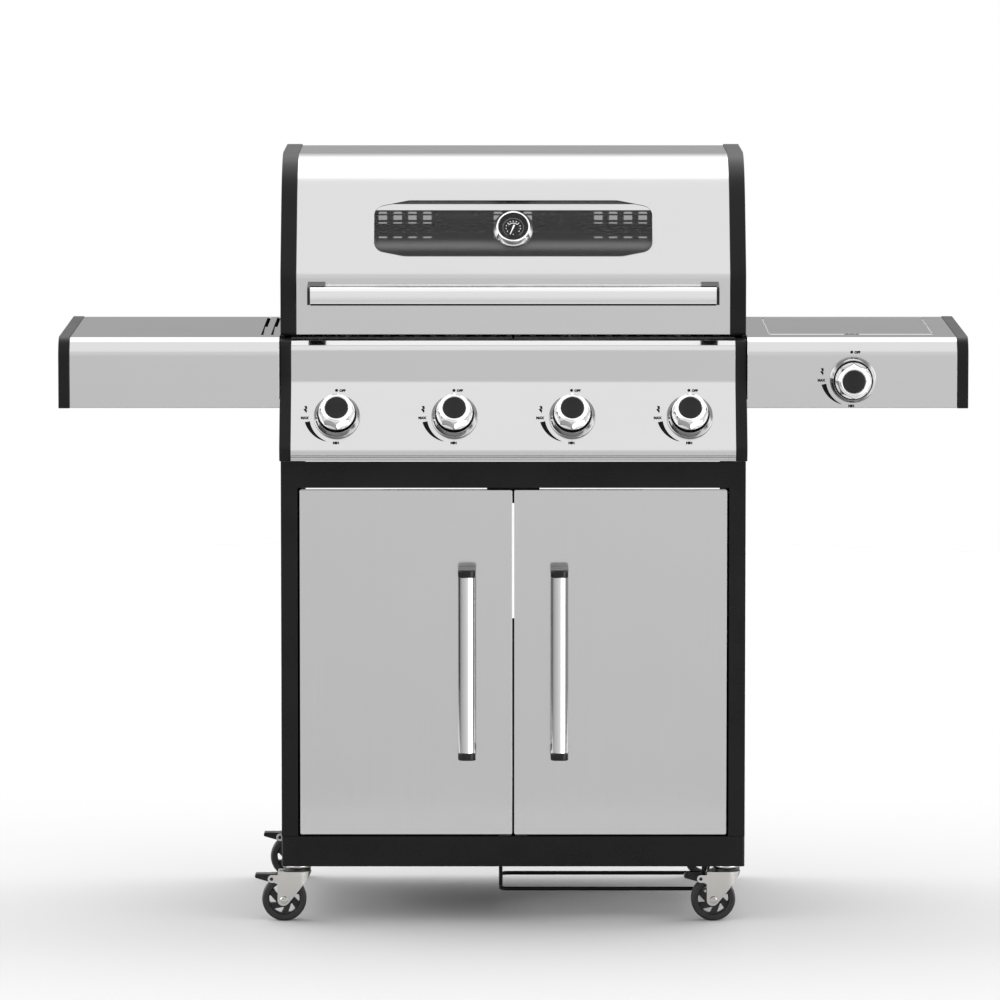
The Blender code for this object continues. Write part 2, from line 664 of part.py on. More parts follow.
# ---------------------------------------------------------------- side shelves
def shelf_profile():
    """Front face, top and back of a shelf in (y, z)."""
    low, high = SHELF_Z
    corners = [(0, low), (0, high), (SHELF_DEPTH, high), (SHELF_DEPTH, low)]
    return rounded(corners, [0, SHELF_ROUND, SHELF_ROUND, 0], 8, closed=False)


def shelves():
    """Folded steel shelves: slots on the left one, a burner under a flush lid on the right one."""
    length_half = (SHELF_OUTER - SHELF_CAP - GAP - SHELF_INNER) / 2
    middle = SHELF_INNER + length_half
    for side, name in ((-1, "left"), (1, "right")):
        pan = sheet(f"{name}_shelf", shelf_profile(), length_half, SHELF_SHEET, STEEL)
        pan.location.x = side * middle
        if side < 0:
            for x in (-0.372, -0.355):
                slot = rounded(rectangle((x - 0.003, 0.075), (x + 0.003, 0.384)), 0.0025, 2)
                cut(pan, plate(f"shelf_slot_{x}", [slot], 0.02, at=(0, 0, SHELF_Z[1])))
        else:
            low, high = SIDE_WELL
            cut(pan, box("side_well", (*low, 0.86), (*high, 0.89)))
            cut(pan, rod("side_stem_hole", 0.007, -0.01, 0.01, at=(SIDE_KNOB_X, 0, SIDE_KNOB_Z),
                         turn=(radians(90), 0, 0)))
        outline = grown(rounded(rectangle((0, SHELF_Z[0]), (SHELF_DEPTH, SHELF_Z[1])),
                                [0.003, 0.003, SHELF_ROUND, SHELF_ROUND], 8), 0.001)
        span = sorted((side * SHELF_OUTER, side * (SHELF_OUTER - SHELF_CAP)))
        tray(f"shelf_cap_{name}", outline, span, 0.003, 0.0025, -side, BLACK, turn=SIDEWAYS)


def side_burner():
    """Drip pan with its burner head and feed tube, under a lid that is hinged along its back edge."""
    (left, front), (right, back) = SIDE_WELL
    middle_x, middle_y = (left + right) / 2, (front + back) / 2
    rim_z = SHELF_Z[1] - SHELF_SHEET - GAP
    outline = rounded(rectangle((left - 0.006, front - 0.006), (right + 0.006, back + 0.006)), 0.010, 3)
    pan = plate("side_burner", [outline], 0.060, ALUMINIUM, at=(0, 0, rim_z - 0.030))
    well = rounded(rectangle((left + 0.004, front + 0.004), (right - 0.004, back - 0.004)), 0.012, 3)
    cut(pan, plate("side_pan_well", [well], 0.060, at=(0, 0, rim_z - 0.030 + 0.0015)))
    under = rounded(rectangle((left + 0.001, front + 0.001), (right - 0.001, back - 0.001)), 0.012, 3)
    skirt = plate("side_pan_skirt", [grown(outline, 0.05), under], 0.0585, at=(0, 0, rim_z - 0.030 - 0.00075))
    cut(pan, skirt)
    head = turned("side_burner_head", [(0, -0.016), (0.030, -0.016), (0.042, -0.020), (0.042, -0.030),
                                       (0.016, -0.036), (0.016, -0.062), (0, -0.062)],
                  at=(middle_x, middle_y, rim_z), steps=20)
    feed = rod("side_feed_tube", 0.008, -middle_y, STEM_SPAN[0] - GAP, at=(SIDE_KNOB_X, 0, SIDE_KNOB_Z),
               turn=FACING)
    down = rod("side_feed_riser", 0.009, SIDE_KNOB_Z - 0.012, rim_z - 0.058, at=(middle_x, middle_y, 0))
    join(pan, head, down, feed)

    hinge = empty("side_burner_lid_hinge", (0, back - 0.0005, SHELF_Z[1] + 0.001), ROOT)
    play = 0.0012
    flap = rounded(rectangle((left + play, front + play), (right - play, back - play)), 0.003, 2)
    cover = plate("side_burner_lid", [flap], SHELF_SHEET, STEEL, hinge,
                  at=(0, 0, SHELF_Z[1] - SHELF_SHEET / 2 + 0.0002))
    scoop = plate("finger_scoop", [circle(0.011, 16, (middle_x, front + play))], 0.02, None, hinge,
                  at=(0, 0, SHELF_Z[1]))
    cut(cover, scoop)


# ---------------------------------------------------------------- casters
def caster(name, swivel):
    """A swivel fork that trails its wheel, with the wheel and a brake lever on it."""
    x, y = swivel
    axis = empty(f"caster_{name}_swivel", (x, y, 0), ROOT)
    axle = (x - TRAIL, y, WHEEL_RADIUS)
    cheek_y = WHEEL_WIDTH / 2 + 0.0035
    cheek = 0.0025
    race = turned(f"caster_fork_{name}", [(0, FORK_TOP - GAP), (0.0215, FORK_TOP - GAP), (0.0215, 0.0790),
                                          (0.0150, 0.0765), (0, 0.0765)], ZINC, axis, at=(x, y, 0), steps=20)
    crown_outline = rectangle((-0.022, -cheek_y - cheek), (0.018, cheek_y + cheek))
    crown = plate(f"fork_crown_{name}", [crown_outline], 0.003, None, axis, at=(x, y, 0.0755))
    side_outline = rounded([(0.018, 0.0765), (-0.045, 0.0710), (-0.045, 0.0630), (-0.033, 0.0600),
                            (-TRAIL - 0.0085, WHEEL_RADIUS + 0.004), (-TRAIL - 0.0065, WHEEL_RADIUS - 0.0085),
                            (-TRAIL + 0.0085, WHEEL_RADIUS - 0.0085)],
                           [0, 0.003, 0.003, 0, 0.004, 0.006, 0.006], 2)
    join(race, crown)
    for side in (-1, 1):
        join(race, plate(f"fork_cheek_{name}_{side}", [side_outline], cheek, None, axis,
                         at=(x, y + side * (cheek_y + cheek / 2), 0), turn=FACING))
    pin_at = (x - BRAKE_PIVOT[0], y, BRAKE_PIVOT[1])
    join(race, rod(f"brake_pin_{name}", BRAKE_PIN, -cheek_y - 0.001, cheek_y + 0.001, None, axis, at=pin_at,
                   turn=FACING, sides=8))
    join(race, rod(f"axle_{name}", AXLE_RADIUS, -cheek_y - cheek - 0.003, cheek_y + cheek + 0.003, None, axis,
                   at=axle, turn=FACING))
    wheel(name, axle, axis)
    brake_lever(name, axis)


def wheel(name, axle, axis):
    """Tyre and dished wheel in one piece, bored for its axle."""
    spin = empty(f"wheel_{name}_axle", Vector(axle) - axis.location, axis, (radians(90), 0, 0))
    half = WHEEL_WIDTH / 2
    bore, hub, rim = AXLE_RADIUS + 0.0003, 0.0085, 0.0235
    web = 0.006
    profile = [(WHEEL_RADIUS - 0.004, half), (WHEEL_RADIUS, half - 0.005), (WHEEL_RADIUS, 0.005 - half),
               (WHEEL_RADIUS - 0.004, -half), (rim, -half), (rim, -web), (hub, -web), (hub, -half),
               (bore, -half), (bore, half), (hub, half), (hub, web), (rim, web), (rim, half)]
    turned(f"wheel_{name}", profile, RUBBER, spin, steps=24, ring=True)


def brake_lever(name, axis):
    """Foot lever over the back of the wheel, pivoted on a pin between the fork's ears."""
    pivot = empty(f"brake_{name}_pivot", (-BRAKE_PIVOT[0], 0, BRAKE_PIVOT[1]), axis, FACING)
    profile = rounded([(0.009, -0.0010), (0.009, 0.0050), (-0.004, 0.0060), (-0.0210, 0.0080),
                       (-0.0235, 0.0040), (-0.006, -0.0040)], 0.0012, 2)
    plate(f"brake_lever_{name}", [profile, circle(BRAKE_PIN + 0.0003, 8)], WHEEL_WIDTH - 0.002, BLACK, pivot)


# ---------------------------------------------------------------- build
for old in list(bpy.data.objects):
    bpy.data.objects.remove(old, do_unlink=True)
PARTS = collection(GRILL_NAME)
CUTTERS = collection("cutters")
GUIDES = collection("guides")
ROOT = empty("grill_origin", (0, -LAYOUT_MIDDLE_Y, 0))

STEEL = finish("brushed_stainless", (0.62, 0.62, 0.63), 0.28, 1.0)
CHROME = finish("chrome", (0.80, 0.80, 0.81), 0.12, 1.0)
BLACK = finish("black_enamel", (0.018, 0.018, 0.020), 0.42, 0.0)
CAST_IRON = finish("cast_iron", (0.030, 0.030, 0.032), 0.65, 0.6)
BURNER_STEEL = finish("burner_steel", (0.45, 0.44, 0.42), 0.40, 1.0)
STEEL_WIRE = finish("steel_wire", (0.50, 0.50, 0.50), 0.30, 1.0)
ALUMINIUM = finish("aluminium", (0.70, 0.70, 0.70), 0.40, 1.0)
BRASS = finish("brass", (0.60, 0.45, 0.20), 0.30, 1.0)
ZINC = finish("zinc_plate", (0.62, 0.61, 0.58), 0.32, 1.0)
RUBBER = finish("black_rubber", (0.020, 0.020, 0.021), 0.70, 0.0)
WHITE = finish("white_paint", (0.85, 0.85, 0.85), 0.50, 0.0)
GLASS_TINT = finish("smoked_glass", (0.05, 0.05, 0.05), 0.05, 0.0, 0.45)

cabinet()
base()
doors()
firebox()
grates()
burners()
warming_rack()
grease_tray()
gas_manifold()
control_panel()
for number, knob_x in enumerate(KNOB_X, 1):
    knob(number, panel_point(knob_x), PANEL_TURN)
knob(5, (SIDE_KNOB_X, 0, SIDE_KNOB_Z), radians(90))
lid()
shelves()
side_burner()
for end, swivel_y in (("front", SWIVEL_Y[0]), ("rear", SWIVEL_Y[1])):
    for hand, swivel_x in (("left", SWIVEL_X[0]), ("right", SWIVEL_X[1])):
        caster(f"{end}_{hand}", (swivel_x, swivel_y))
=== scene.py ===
"""Gas barbecue grill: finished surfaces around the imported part.

Pieces are drawn in the part's layout, with x = 0 in the middle of the cabinet, y = 0 at the front of
the side shelves and z = 0 on the floor. LAYOUT moves that layout into the part's own frame.
"""
from math import asin, atan2, copysign, cos, pi, radians, sin, tan

import bmesh
import bpy
from mathutils import Matrix, Vector


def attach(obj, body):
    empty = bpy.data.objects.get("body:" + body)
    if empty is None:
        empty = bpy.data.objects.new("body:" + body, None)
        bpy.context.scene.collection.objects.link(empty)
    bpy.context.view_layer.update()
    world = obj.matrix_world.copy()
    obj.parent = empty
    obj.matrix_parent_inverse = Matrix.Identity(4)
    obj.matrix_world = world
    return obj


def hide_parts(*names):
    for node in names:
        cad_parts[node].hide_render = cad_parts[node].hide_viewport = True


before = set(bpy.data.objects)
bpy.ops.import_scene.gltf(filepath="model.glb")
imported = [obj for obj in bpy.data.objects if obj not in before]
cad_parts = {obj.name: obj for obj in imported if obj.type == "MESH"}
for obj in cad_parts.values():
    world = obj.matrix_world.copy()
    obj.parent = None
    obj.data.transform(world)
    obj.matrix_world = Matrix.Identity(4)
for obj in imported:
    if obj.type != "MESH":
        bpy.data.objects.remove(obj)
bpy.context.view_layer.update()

LAYOUT = Matrix.Translation((0, -0.2232, 0))
FLAT = Matrix.Identity(4)                                                       # outline in (x, y)
SIDEWAYS = Matrix.Rotation(pi / 2, 4, "Z") @ Matrix.Rotation(pi / 2, 4, "X")    # outline in (y, z)
FACING = Matrix.Rotation(pi / 2, 4, "X")                                        # outline in (x, z)
SIDES = (-1, "left"), (1, "right")
SHEET = 0.0012    # thickness of the folded steel
GAP = 0.0003      # room between pieces that meet

# Lid
LID_HALF, LID_CAP = 0.3441, 0.0235
LID_FRONT, LID_BOTTOM, LID_BEND, LID_TOP = 0.051, 0.875, 0.967, 1.135
LID_BACK, LID_BACK_BOTTOM, LID_CROWN = 0.470, 0.892, 0.138
LID_LEAN, LID_CLIMB = 0.110 - LID_FRONT, 1.068 - LID_BEND     # how far the front slopes back, over what height
LID_SLOPE = LID_LEAN / LID_CLIMB
LID_TURN = pi / 2 - atan2(LID_LEAN, LID_CLIMB)
WINDOW_Z = 1.030
LID_FACE = (Matrix.Translation((0, LID_FRONT + (WINDOW_Z - LID_BEND) * LID_SLOPE, WINDOW_Z))
            @ Matrix.Rotation(LID_TURN, 4, "X"))
GLASS_FRONT = -0.0027
VENT_PITCH = 0.0227
VENT_ROWS = ((1.0105, 1.031), (0.9905, 0.9930))
VENT_GROUPS = ((-0.199, 4), (-VENT_PITCH, 3), (0.131, 4))

# Panel and knobs
PANEL_HALF = 0.3271
PANEL_FRONT, PANEL_BACK, PANEL_LOW, PANEL_BROW, PANEL_HIGH = 0.010, 0.048, 0.696, 0.809, 0.871
PANEL_LEAN, PANEL_CLIMB = 0.047, 0.093      # how far the knobs' slope leans back, over what height
PANEL_CORNERS = [(PANEL_BACK, PANEL_LOW), (-0.031, PANEL_LOW), (-0.037, 0.716), (PANEL_FRONT, PANEL_BROW),
                 (PANEL_FRONT, PANEL_HIGH), (PANEL_BACK, PANEL_HIGH)]
PANEL_RADII = [0, 0.006, 0.008, 0.040, 0.009, 0]
PANEL_TURN = pi / 2 - atan2(PANEL_LEAN, PANEL_CLIMB)
KNOB_X = (-0.2595, -0.0866, 0.0866, 0.2595)
KNOB_Z = 0.760
SIDE_KNOB = (0.500, 0, 0.8137)

# Shelves
SHELF_INNER, SHELF_OUTER, SHELF_CAP = 0.3447, 0.670, 0.0165
SHELF_LOW, SHELF_HIGH, SHELF_DEPTH, SHELF_ROUND = 0.771, 0.875, 0.427, 0.026
SLOT_X = {"outer": -0.3708, "inner": -0.3560}

# Doors
DOOR_HANDLE_X, DOOR_HANDLE_FRONT = 0.0683, 0.025 - 0.056


# ------------------------------------------------------------------ outlines
def rounded(points, radii, steps=8, closed=True):
    """The outline with each corner replaced by an arc; radii is one radius, or one a corner."""
    count = len(points)
    if not isinstance(radii, (list, tuple)):
        radii = [radii] * count
    outline = []
    for i, (corner, radius) in enumerate(zip(points, radii)):
        corner = Vector(corner)
        if radius == 0 or (not closed and i in (0, count - 1)):
            outline.append(tuple(corner))
            continue
        back = (Vector(points[i - 1]) - corner).normalized()
        ahead = (Vector(points[(i + 1) % count]) - corner).normalized()
        half = back.angle(ahead) / 2
        start = corner + back * radius / tan(half)
        centre = corner + (back + ahead).normalized() * radius / sin(half)
        sweep = copysign(pi - 2 * half, back.angle_signed(ahead))
        arm = start - centre
        for step in range(steps + 1):
            outline.append(tuple(centre + Matrix.Rotation(sweep * step / steps, 2) @ arm))
    return outline


def rectangle(low, high):
    return [(low[0], low[1]), (high[0], low[1]), (high[0], high[1]), (low[0], high[1])]


def circle(radius, sides, centre=(0, 0)):
    return [(centre[0] + radius * cos(2 * pi * i / sides), centre[1] + radius * sin(2 * pi * i / sides))
            for i in range(sides)]


def grown(points, distance):
    """A closed outline moved outwards by a distance, or inwards if it is negative."""
    area = sum(a[0] * b[1] - b[0] * a[1] for a, b in zip(points, points[1:] + points[:1]))
    distance = copysign(distance, distance * area)
    outline = []
    for i, point in enumerate(points):
        before = (Vector(point) - Vector(points[i - 1])).normalized()
        after = (Vector(points[(i + 1) % len(points)]) - Vector(point)).normalized()
        normal_a, normal_b = Vector((before.y, -before.x)), Vector((after.y, -after.x))
        outline.append(tuple(Vector(point) + (normal_a + normal_b) / (1 + normal_a.dot(normal_b)) * distance))
    return outline


# ------------------------------------------------------------------ shapes
def new_object(name, mesh):
    made = bpy.data.objects.new(name, mesh)
    bpy.context.scene.collection.objects.link(made)
    return made


def from_bmesh(name, shape, frame_of=FLAT):
    mesh = bpy.data.meshes.new(name)
    shape.to_mesh(mesh)
    shape.free()
    mesh.transform(frame_of)
    return new_object(name, mesh)


def bake(piece):
    """Turn a piece's modifiers into its mesh."""
    graph = bpy.context.evaluated_depsgraph_get()
    mesh = bpy.data.meshes.new_from_object(piece.evaluated_get(graph))
    mesh.name = piece.name
    piece.modifiers.clear()
    piece.data = mesh
    return piece


def from_curve(name, curve, frame_of):
    """A curve's surface, welded, with its flat faces whole."""
    drawn = new_object(name, curve)
    graph = bpy.context.evaluated_depsgraph_get()
    mesh = bpy.data.meshes.new_from_object(drawn.evaluated_get(graph))
    bpy.data.objects.remove(drawn, do_unlink=True)
    shape = bmesh.new()
    shape.from_mesh(mesh)
    bmesh.ops.remove_doubles(shape, verts=shape.verts, dist=1e-6)
    bmesh.ops.dissolve_limit(shape, angle_limit=radians(0.5), verts=shape.verts, edges=shape.edges)
    bmesh.ops.recalc_face_normals(shape, faces=shape.faces)
    piece = from_bmesh(name, shape, frame_of)
    piece.data.materials.clear()
    return piece


def plate(name, outlines, low, high, frame_of=FLAT):
    """A flat solid from low to high along its axis: the first outline is its edge, the others holes."""
    curve = bpy.data.curves.new(name, "CURVE")
    curve.dimensions = "2D"
    curve.fill_mode = "BOTH"
    curve.extrude = (high - low) / 2
    for outline in outlines:
        spline = curve.splines.new("POLY")
        spline.points.add(len(outline) - 1)
        spline.use_cyclic_u = True
        for point, (u, v) in zip(spline.points, outline):
            point.co = (u, v, 0, 1)
    return from_curve(name, curve, frame_of @ Matrix.Translation((0, 0, (low + high) / 2)))


def wire(name, path, radius, closed=False, frame_of=FLAT, sides=4):
    """A round rod along a path; sides counts a quarter of the circle."""
    curve = bpy.data.curves.new(name, "CURVE")
    curve.dimensions = "3D"
    curve.bevel_depth = radius
    curve.bevel_resolution = sides
    curve.use_fill_caps = True
    spline = curve.splines.new("POLY")
    spline.points.add(len(path) - 1)
    spline.use_cyclic_u = closed
    for point, at in zip(spline.points, path):
        point.co = (*at, 1)
    piece = from_curve(name, curve, frame_of)
    return smooth(piece, 50)


def sheet(name, profile, low, high, thickness):
    """A folded sheet: an open profile in (y, z) drawn from x = low to x = high, thick towards its inside."""
    shape = bmesh.new()
    verts = [shape.verts.new((low, y, z)) for y, z in profile]
    edges = [shape.edges.new(pair) for pair in zip(verts, verts[1:])]
    drawn = bmesh.ops.extrude_edge_only(shape, edges=edges)["geom"]
    moved = [item for item in drawn if isinstance(item, bmesh.types.BMVert)]
    bmesh.ops.translate(shape, verts=moved, vec=(high - low, 0, 0))
    shape.normal_update()
    along = verts[1].co - verts[0].co
    if verts[0].link_faces[0].normal.dot(Vector((1, 0, 0)).cross(along)) < 0:
        bmesh.ops.reverse_faces(shape, faces=shape.faces)
    piece = from_bmesh(name, shape)
    solid = piece.modifiers.new("thickness", "SOLIDIFY")
    solid.thickness = thickness
    solid.offset = -1.0
    solid.use_even_offset = True
    return bake(piece)


def turned(name, profile, frame_of=FLAT, steps=64, ring=False, sharp=32):
    """A turned solid: a profile in (radius, height) spun about z."""
    shape = bmesh.new()
    verts = [shape.verts.new((radius, 0, height)) for radius, height in profile]
    edges = [shape.edges.new(pair) for pair in zip(verts, verts[1:] + (verts[:1] if ring else []))]
    bmesh.ops.spin(shape, geom=verts + edges, cent=(0, 0, 0), axis=(0, 0, 1), angle=2 * pi, steps=steps,
                   use_merge=True)
    bmesh.ops.remove_doubles(shape, verts=shape.verts, dist=1e-6)
    bmesh.ops.recalc_face_normals(shape, faces=shape.faces)
    piece = from_bmesh(name, shape, frame_of)
    return smooth(piece, sharp)


def smooth(piece, sharp=32):
    piece.data.shade_smooth()
    piece.data.set_sharp_from_angle(angle=radians(sharp))
    return piece


def combine(piece, tools, operation="DIFFERENCE"):
    """Cut tools out of a piece, or join them to it; the tools are used up."""
    for tool in tools:
        change = piece.modifiers.new("combine", "BOOLEAN")
        change.operation = operation
        change.object = tool
        change.solver = "EXACT"
    bake(piece)
    for tool in tools:
        bpy.data.objects.remove(tool, do_unlink=True)
    return piece


def soften(piece, width=0.0006, segments=2, sharp=30):
    """Round the sharp edges and shade flats flat and curves smooth."""
    shape = bmesh.new()
    shape.from_mesh(piece.data)
    bmesh.ops.dissolve_limit(shape, angle_limit=radians(0.5), verts=shape.verts, edges=shape.edges)
    shape.to_mesh(piece.data)
    shape.free()
    piece.data.shade_smooth()
    if width:
        bevel = piece.modifiers.new("edges", "BEVEL")
        bevel.width = width
        bevel.segments = segments
        bevel.limit_method = "ANGLE"
        bevel.angle_limit = radians(sharp)
        bevel.use_clamp_overlap = True
    else:
        piece.data.set_sharp_from_angle(angle=radians(sharp))
    weight = piece.modifiers.new("normals", "WEIGHTED_NORMAL")
    weight.keep_sharp = True
    return bake(piece)


def finish(piece, material, body, slot, *nodes, at=FLAT):
    """Put a piece in place on its body, in its material; nodes are the CAD nodes that it stands for."""
    piece.data.materials.clear()
    piece.data.materials.append(material)
    piece.matrix_world = LAYOUT @ at
    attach(piece, body)
    if nodes:
        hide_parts(*nodes)
    return piece


def refined(node, material, body, slot, width=0.0005, segments=2, name=None):
    """A CAD node's own shape with its edges rounded."""
    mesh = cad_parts[node].data.copy()
    if "custom_normal" in mesh.attributes:
        mesh.attributes.remove(mesh.attributes["custom_normal"])
    shape = bmesh.new()
    shape.from_mesh(mesh)
    bmesh.ops.remove_doubles(shape, verts=shape.verts, dist=2e-6)
    shape.to_mesh(mesh)
    shape.free()
    mesh.transform(LAYOUT.inverted())
    piece = soften(new_object(name or f"{node}_finished", mesh), width, segments)
    return finish(piece, material, body, slot, node)


# ------------------------------------------------------------------ materials
def scaled(color, factor):
    return tuple(channel * factor for channel in color)


def calculated(tree, operation, *values):
    """A shader value worked out from numbers and other shader values."""
    made = tree.nodes.new("ShaderNodeMath")
    made.operation = operation
    for socket, value in zip(made.inputs, values):
        if isinstance(value, (int, float)):
            socket.default_value = value
        else:
            tree.links.new(value, socket)
    return made.outputs["Value"]


def remapped(tree, value, before, after, interpolation="LINEAR"):
    """A shader value carried from one range to another."""
    made = tree.nodes.new("ShaderNodeMapRange")
    made.interpolation_type = interpolation
    for socket, number in zip(("From Min", "From Max", "To Min", "To Max"), (*before, *after)):
        made.inputs[socket].default_value = number
    tree.links.new(value, made.inputs["Value"])
    return made.outputs["Result"]


class Surface:
    """A Principled material whose nodes are added one by one; coordinates are metres on the piece."""

    def __init__(self, name, color, roughness, metallic=0.0, **fixed):
        self.material = bpy.data.materials.new(name)
        self.material.use_nodes = True
        self.tree = self.material.node_tree
        self.shader = self.tree.nodes["Principled BSDF"]
        self.color = color
        self.shader.inputs["Base Color"].default_value = (*color, 1.0)
        self.shader.inputs["Roughness"].default_value = roughness
        self.shader.inputs["Metallic"].default_value = metallic
        for socket, value in fixed.items():
            self.shader.inputs[socket.replace("_", " ")].default_value = value
        self.place = self.tree.nodes.new("ShaderNodeTexCoord").outputs["Object"]

    def link(self, out, socket):
        self.tree.links.new(out, socket)

    def noise(self, scale, stretch=(1, 1, 1), detail=3.0, rough=0.5):
        """A noise pattern; stretch above 1 makes it finer along that axis."""
        mapping = self.tree.nodes.new("ShaderNodeMapping")
        mapping.inputs["Scale"].default_value = stretch
        self.link(self.place, mapping.inputs["Vector"])
        made = self.tree.nodes.new("ShaderNodeTexNoise")
        made.inputs["Scale"].default_value = scale
        made.inputs["Detail"].default_value = detail
        made.inputs["Roughness"].default_value = rough
        self.link(mapping.outputs["Vector"], made.inputs["Vector"])
        return made.outputs["Fac"]

    def spread(self, value, low, high, start=0.3, end=0.7):
        """The pattern's start to end spread over low to high."""
        return remapped(self.tree, value, (start, end), (low, high))

    def maths(self, operation, a, b):
        return calculated(self.tree, operation, a, b)

    def tint(self, value, dark, light=None):
        """Base colour between dark and light by a pattern from 0 to 1."""
        made = self.tree.nodes.new("ShaderNodeMix")
        made.data_type = "RGBA"
        made.inputs[6].default_value = (*dark, 1.0)
        made.inputs[7].default_value = (*(light or self.color), 1.0)
        self.link(value, made.inputs["Factor"])
        self.link(made.outputs[2], self.shader.inputs["Base Color"])

    def rough(self, value):
        self.link(value, self.shader.inputs["Roughness"])

    def bump(self, value, distance, strength=1.0):
        made = self.tree.nodes.new("ShaderNodeBump")
        made.inputs["Distance"].default_value = distance
        made.inputs["Strength"].default_value = strength
        self.link(value, made.inputs["Height"])
        self.link(made.outputs["Normal"], self.shader.inputs["Normal"])


def brushed(name, color, roughness, along, depth=0.000012):
    """Sheet steel with fine grinding lines along one axis, cloudy sheen and faint handling marks."""
    made = Surface(name, color, roughness, 1.0)
    stretch = [1.0, 1.0, 1.0]
    stretch["xyz".index(along)] = 0.012
    lines = made.noise(1500, stretch, 2.0, 0.65)
    streaks = made.noise(260, stretch, 2.0)
    clouds = made.noise(9, detail=4.0)
    sheen = made.spread(clouds, roughness - 0.015, roughness + 0.02)
    sheen = made.maths("ADD", made.spread(lines, -0.02, 0.02), sheen)
    made.rough(made.maths("ADD", sheen, made.spread(streaks, -0.01, 0.01)))
    made.tint(made.maths("ADD", made.spread(streaks, 0.0, 0.6), made.spread(clouds, 0.0, 0.4)),
              scaled(color, 0.985))
    made.bump(lines, depth, 0.3)
    return made.material


def coated(name, color, roughness, grain=900, depth=0.00006, **fixed):
    """Powder coat: a fine orange-peel skin with cloudy gloss and paler rubbed specks."""
    made = Surface(name, color, roughness, 0.0, **fixed)
    peel = made.noise(grain, detail=2.0)
    clouds = made.noise(14, detail=5.0)
    specks = made.noise(2600, detail=1.0)
    gloss = made.spread(clouds, roughness - 0.05, roughness + 0.06)
    made.rough(made.maths("ADD", gloss, made.spread(peel, -0.04, 0.04)))
    made.tint(made.maths("ADD", made.spread(clouds, 0.0, 0.5), made.spread(specks, 0.0, 0.5, 0.45, 0.7)),
              scaled(color, 0.8), scaled(color, 1.3))
    made.bump(peel, depth, 0.6)
    return made.material


def moulded(name, color, roughness, grain=1800, depth=0.00004, **fixed):
    """Moulded plastic or rubber with a fine spark-eroded texture."""
    made = Surface(name, color, roughness, 0.0, **fixed)
    texture = made.noise(grain, detail=3.0, rough=0.7)
    clouds = made.noise(40, detail=3.0)
    gloss = made.spread(clouds, roughness - 0.04, roughness + 0.05)
    made.rough(made.maths("ADD", made.spread(texture, -0.06, 0.06), gloss))
    made.tint(made.spread(clouds, 0.0, 1.0), scaled(color, 0.8), scaled(color, 1.2))
    made.bump(texture, depth, 0.5)
    return made.material


def plated(name, color, roughness, tone=0.93):
    """Chrome or polished metal with soft polishing haze."""
    made = Surface(name, color, roughness, 1.0)
    haze = made.noise(60, detail=4.0)
    fine = made.noise(900, detail=2.0)
    gloss = made.spread(haze, roughness * 0.7, roughness * 1.5)
    made.rough(made.maths("ADD", gloss, made.spread(fine, -0.012, 0.012)))
    made.tint(made.spread(haze, 0.0, 1.0), scaled(color, tone))
    made.bump(fine, 0.00001, 0.3)
    return made.material


def cast(name, color, roughness):
    """Cast iron under enamel: coarse sand texture and glossy high spots."""
    made = Surface(name, color, roughness, 0.2)
    sand = made.noise(700, detail=5.0, rough=0.7)
    lumps = made.noise(90, detail=3.0)
    made.rough(made.spread(sand, roughness - 0.12, roughness + 0.12))
    made.tint(made.spread(lumps, 0.0, 1.0), scaled(color, 0.6), scaled(color, 1.5))
    made.bump(made.maths("ADD", sand, made.maths("MULTIPLY", lumps, 2.0)), 0.00025, 0.7)
    return made.material


def heated(name, color, roughness):
    """Burner steel: grinding lines with straw and blue heat tint in drifting patches."""
    made = Surface(name, color, roughness, 1.0)
    lines = made.noise(1200, (1, 0.02, 1), 2.0)
    patches = made.noise(22, detail=4.0)
    made.rough(made.spread(patches, roughness - 0.06, roughness + 0.12))
    made.tint(made.spread(patches, 0.0, 1.0), (0.30, 0.24, 0.19), color)
    made.bump(lines, 0.00002, 0.5)
    return made.material


def glazed(name, color, alpha, **fixed):
    """Clear pane with a faint greasy film."""
    made = Surface(name, color, 0.03, 0.0, Alpha=alpha, **fixed)
    film = made.noise(25, detail=5.0)
    made.rough(made.spread(film, 0.02, 0.05))
    return made.material


def smoked(name, color, alpha, height, reach):
    """Smoked pane with a paler band of painted reflection, fading in and out round one height, standing for
    light reflected inside the hood.
    """
    made = Surface(name, color, 0.03, 0.0, Alpha=alpha)
    axes = made.tree.nodes.new("ShaderNodeSeparateXYZ")
    made.link(made.place, axes.inputs[0])
    above = made.maths("ABSOLUTE", made.maths("SUBTRACT", axes.outputs["Z"], height), 0.0)
    # painted reflection: the pane is tinted paler in a band round the given height
    band = remapped(made.tree, above, (reach, 0.0), (0.0, 1.0), "SMOOTHSTEP")
    made.tint(band, color, (0.105, 0.105, 0.105))
    made.rough(made.spread(made.noise(25, detail=5.0), 0.02, 0.05))
    return made.material


STEEL = brushed("brushed_stainless", (0.52, 0.52, 0.52), 0.10, "x", 0.000001)
STEEL_UP = brushed("brushed_stainless_upright", (0.52, 0.52, 0.52), 0.10, "z", 0.000001)
POLISHED = brushed("polished_stainless", (0.66, 0.66, 0.66), 0.09, "x", 0.000002)
POLISHED_UP = brushed("polished_stainless_upright", (0.66, 0.66, 0.66), 0.09, "z", 0.000002)
CHROME = plated("satin_chrome", (0.78, 0.78, 0.79), 0.10)
BRIGHT = plated("bright_chrome", (0.80, 0.80, 0.80), 0.16)
ENAMEL = coated("black_powder_coat", (0.0050, 0.0050, 0.0052), 0.30, depth=0.00003, Specular_IOR_Level=0.12)
NYLON = moulded("black_nylon", (0.0065, 0.0065, 0.0068), 0.24, depth=0.00001, Specular_IOR_Level=0.20)
DARK_CHROME = plated("dark_chrome", (0.24, 0.24, 0.24), 0.10)
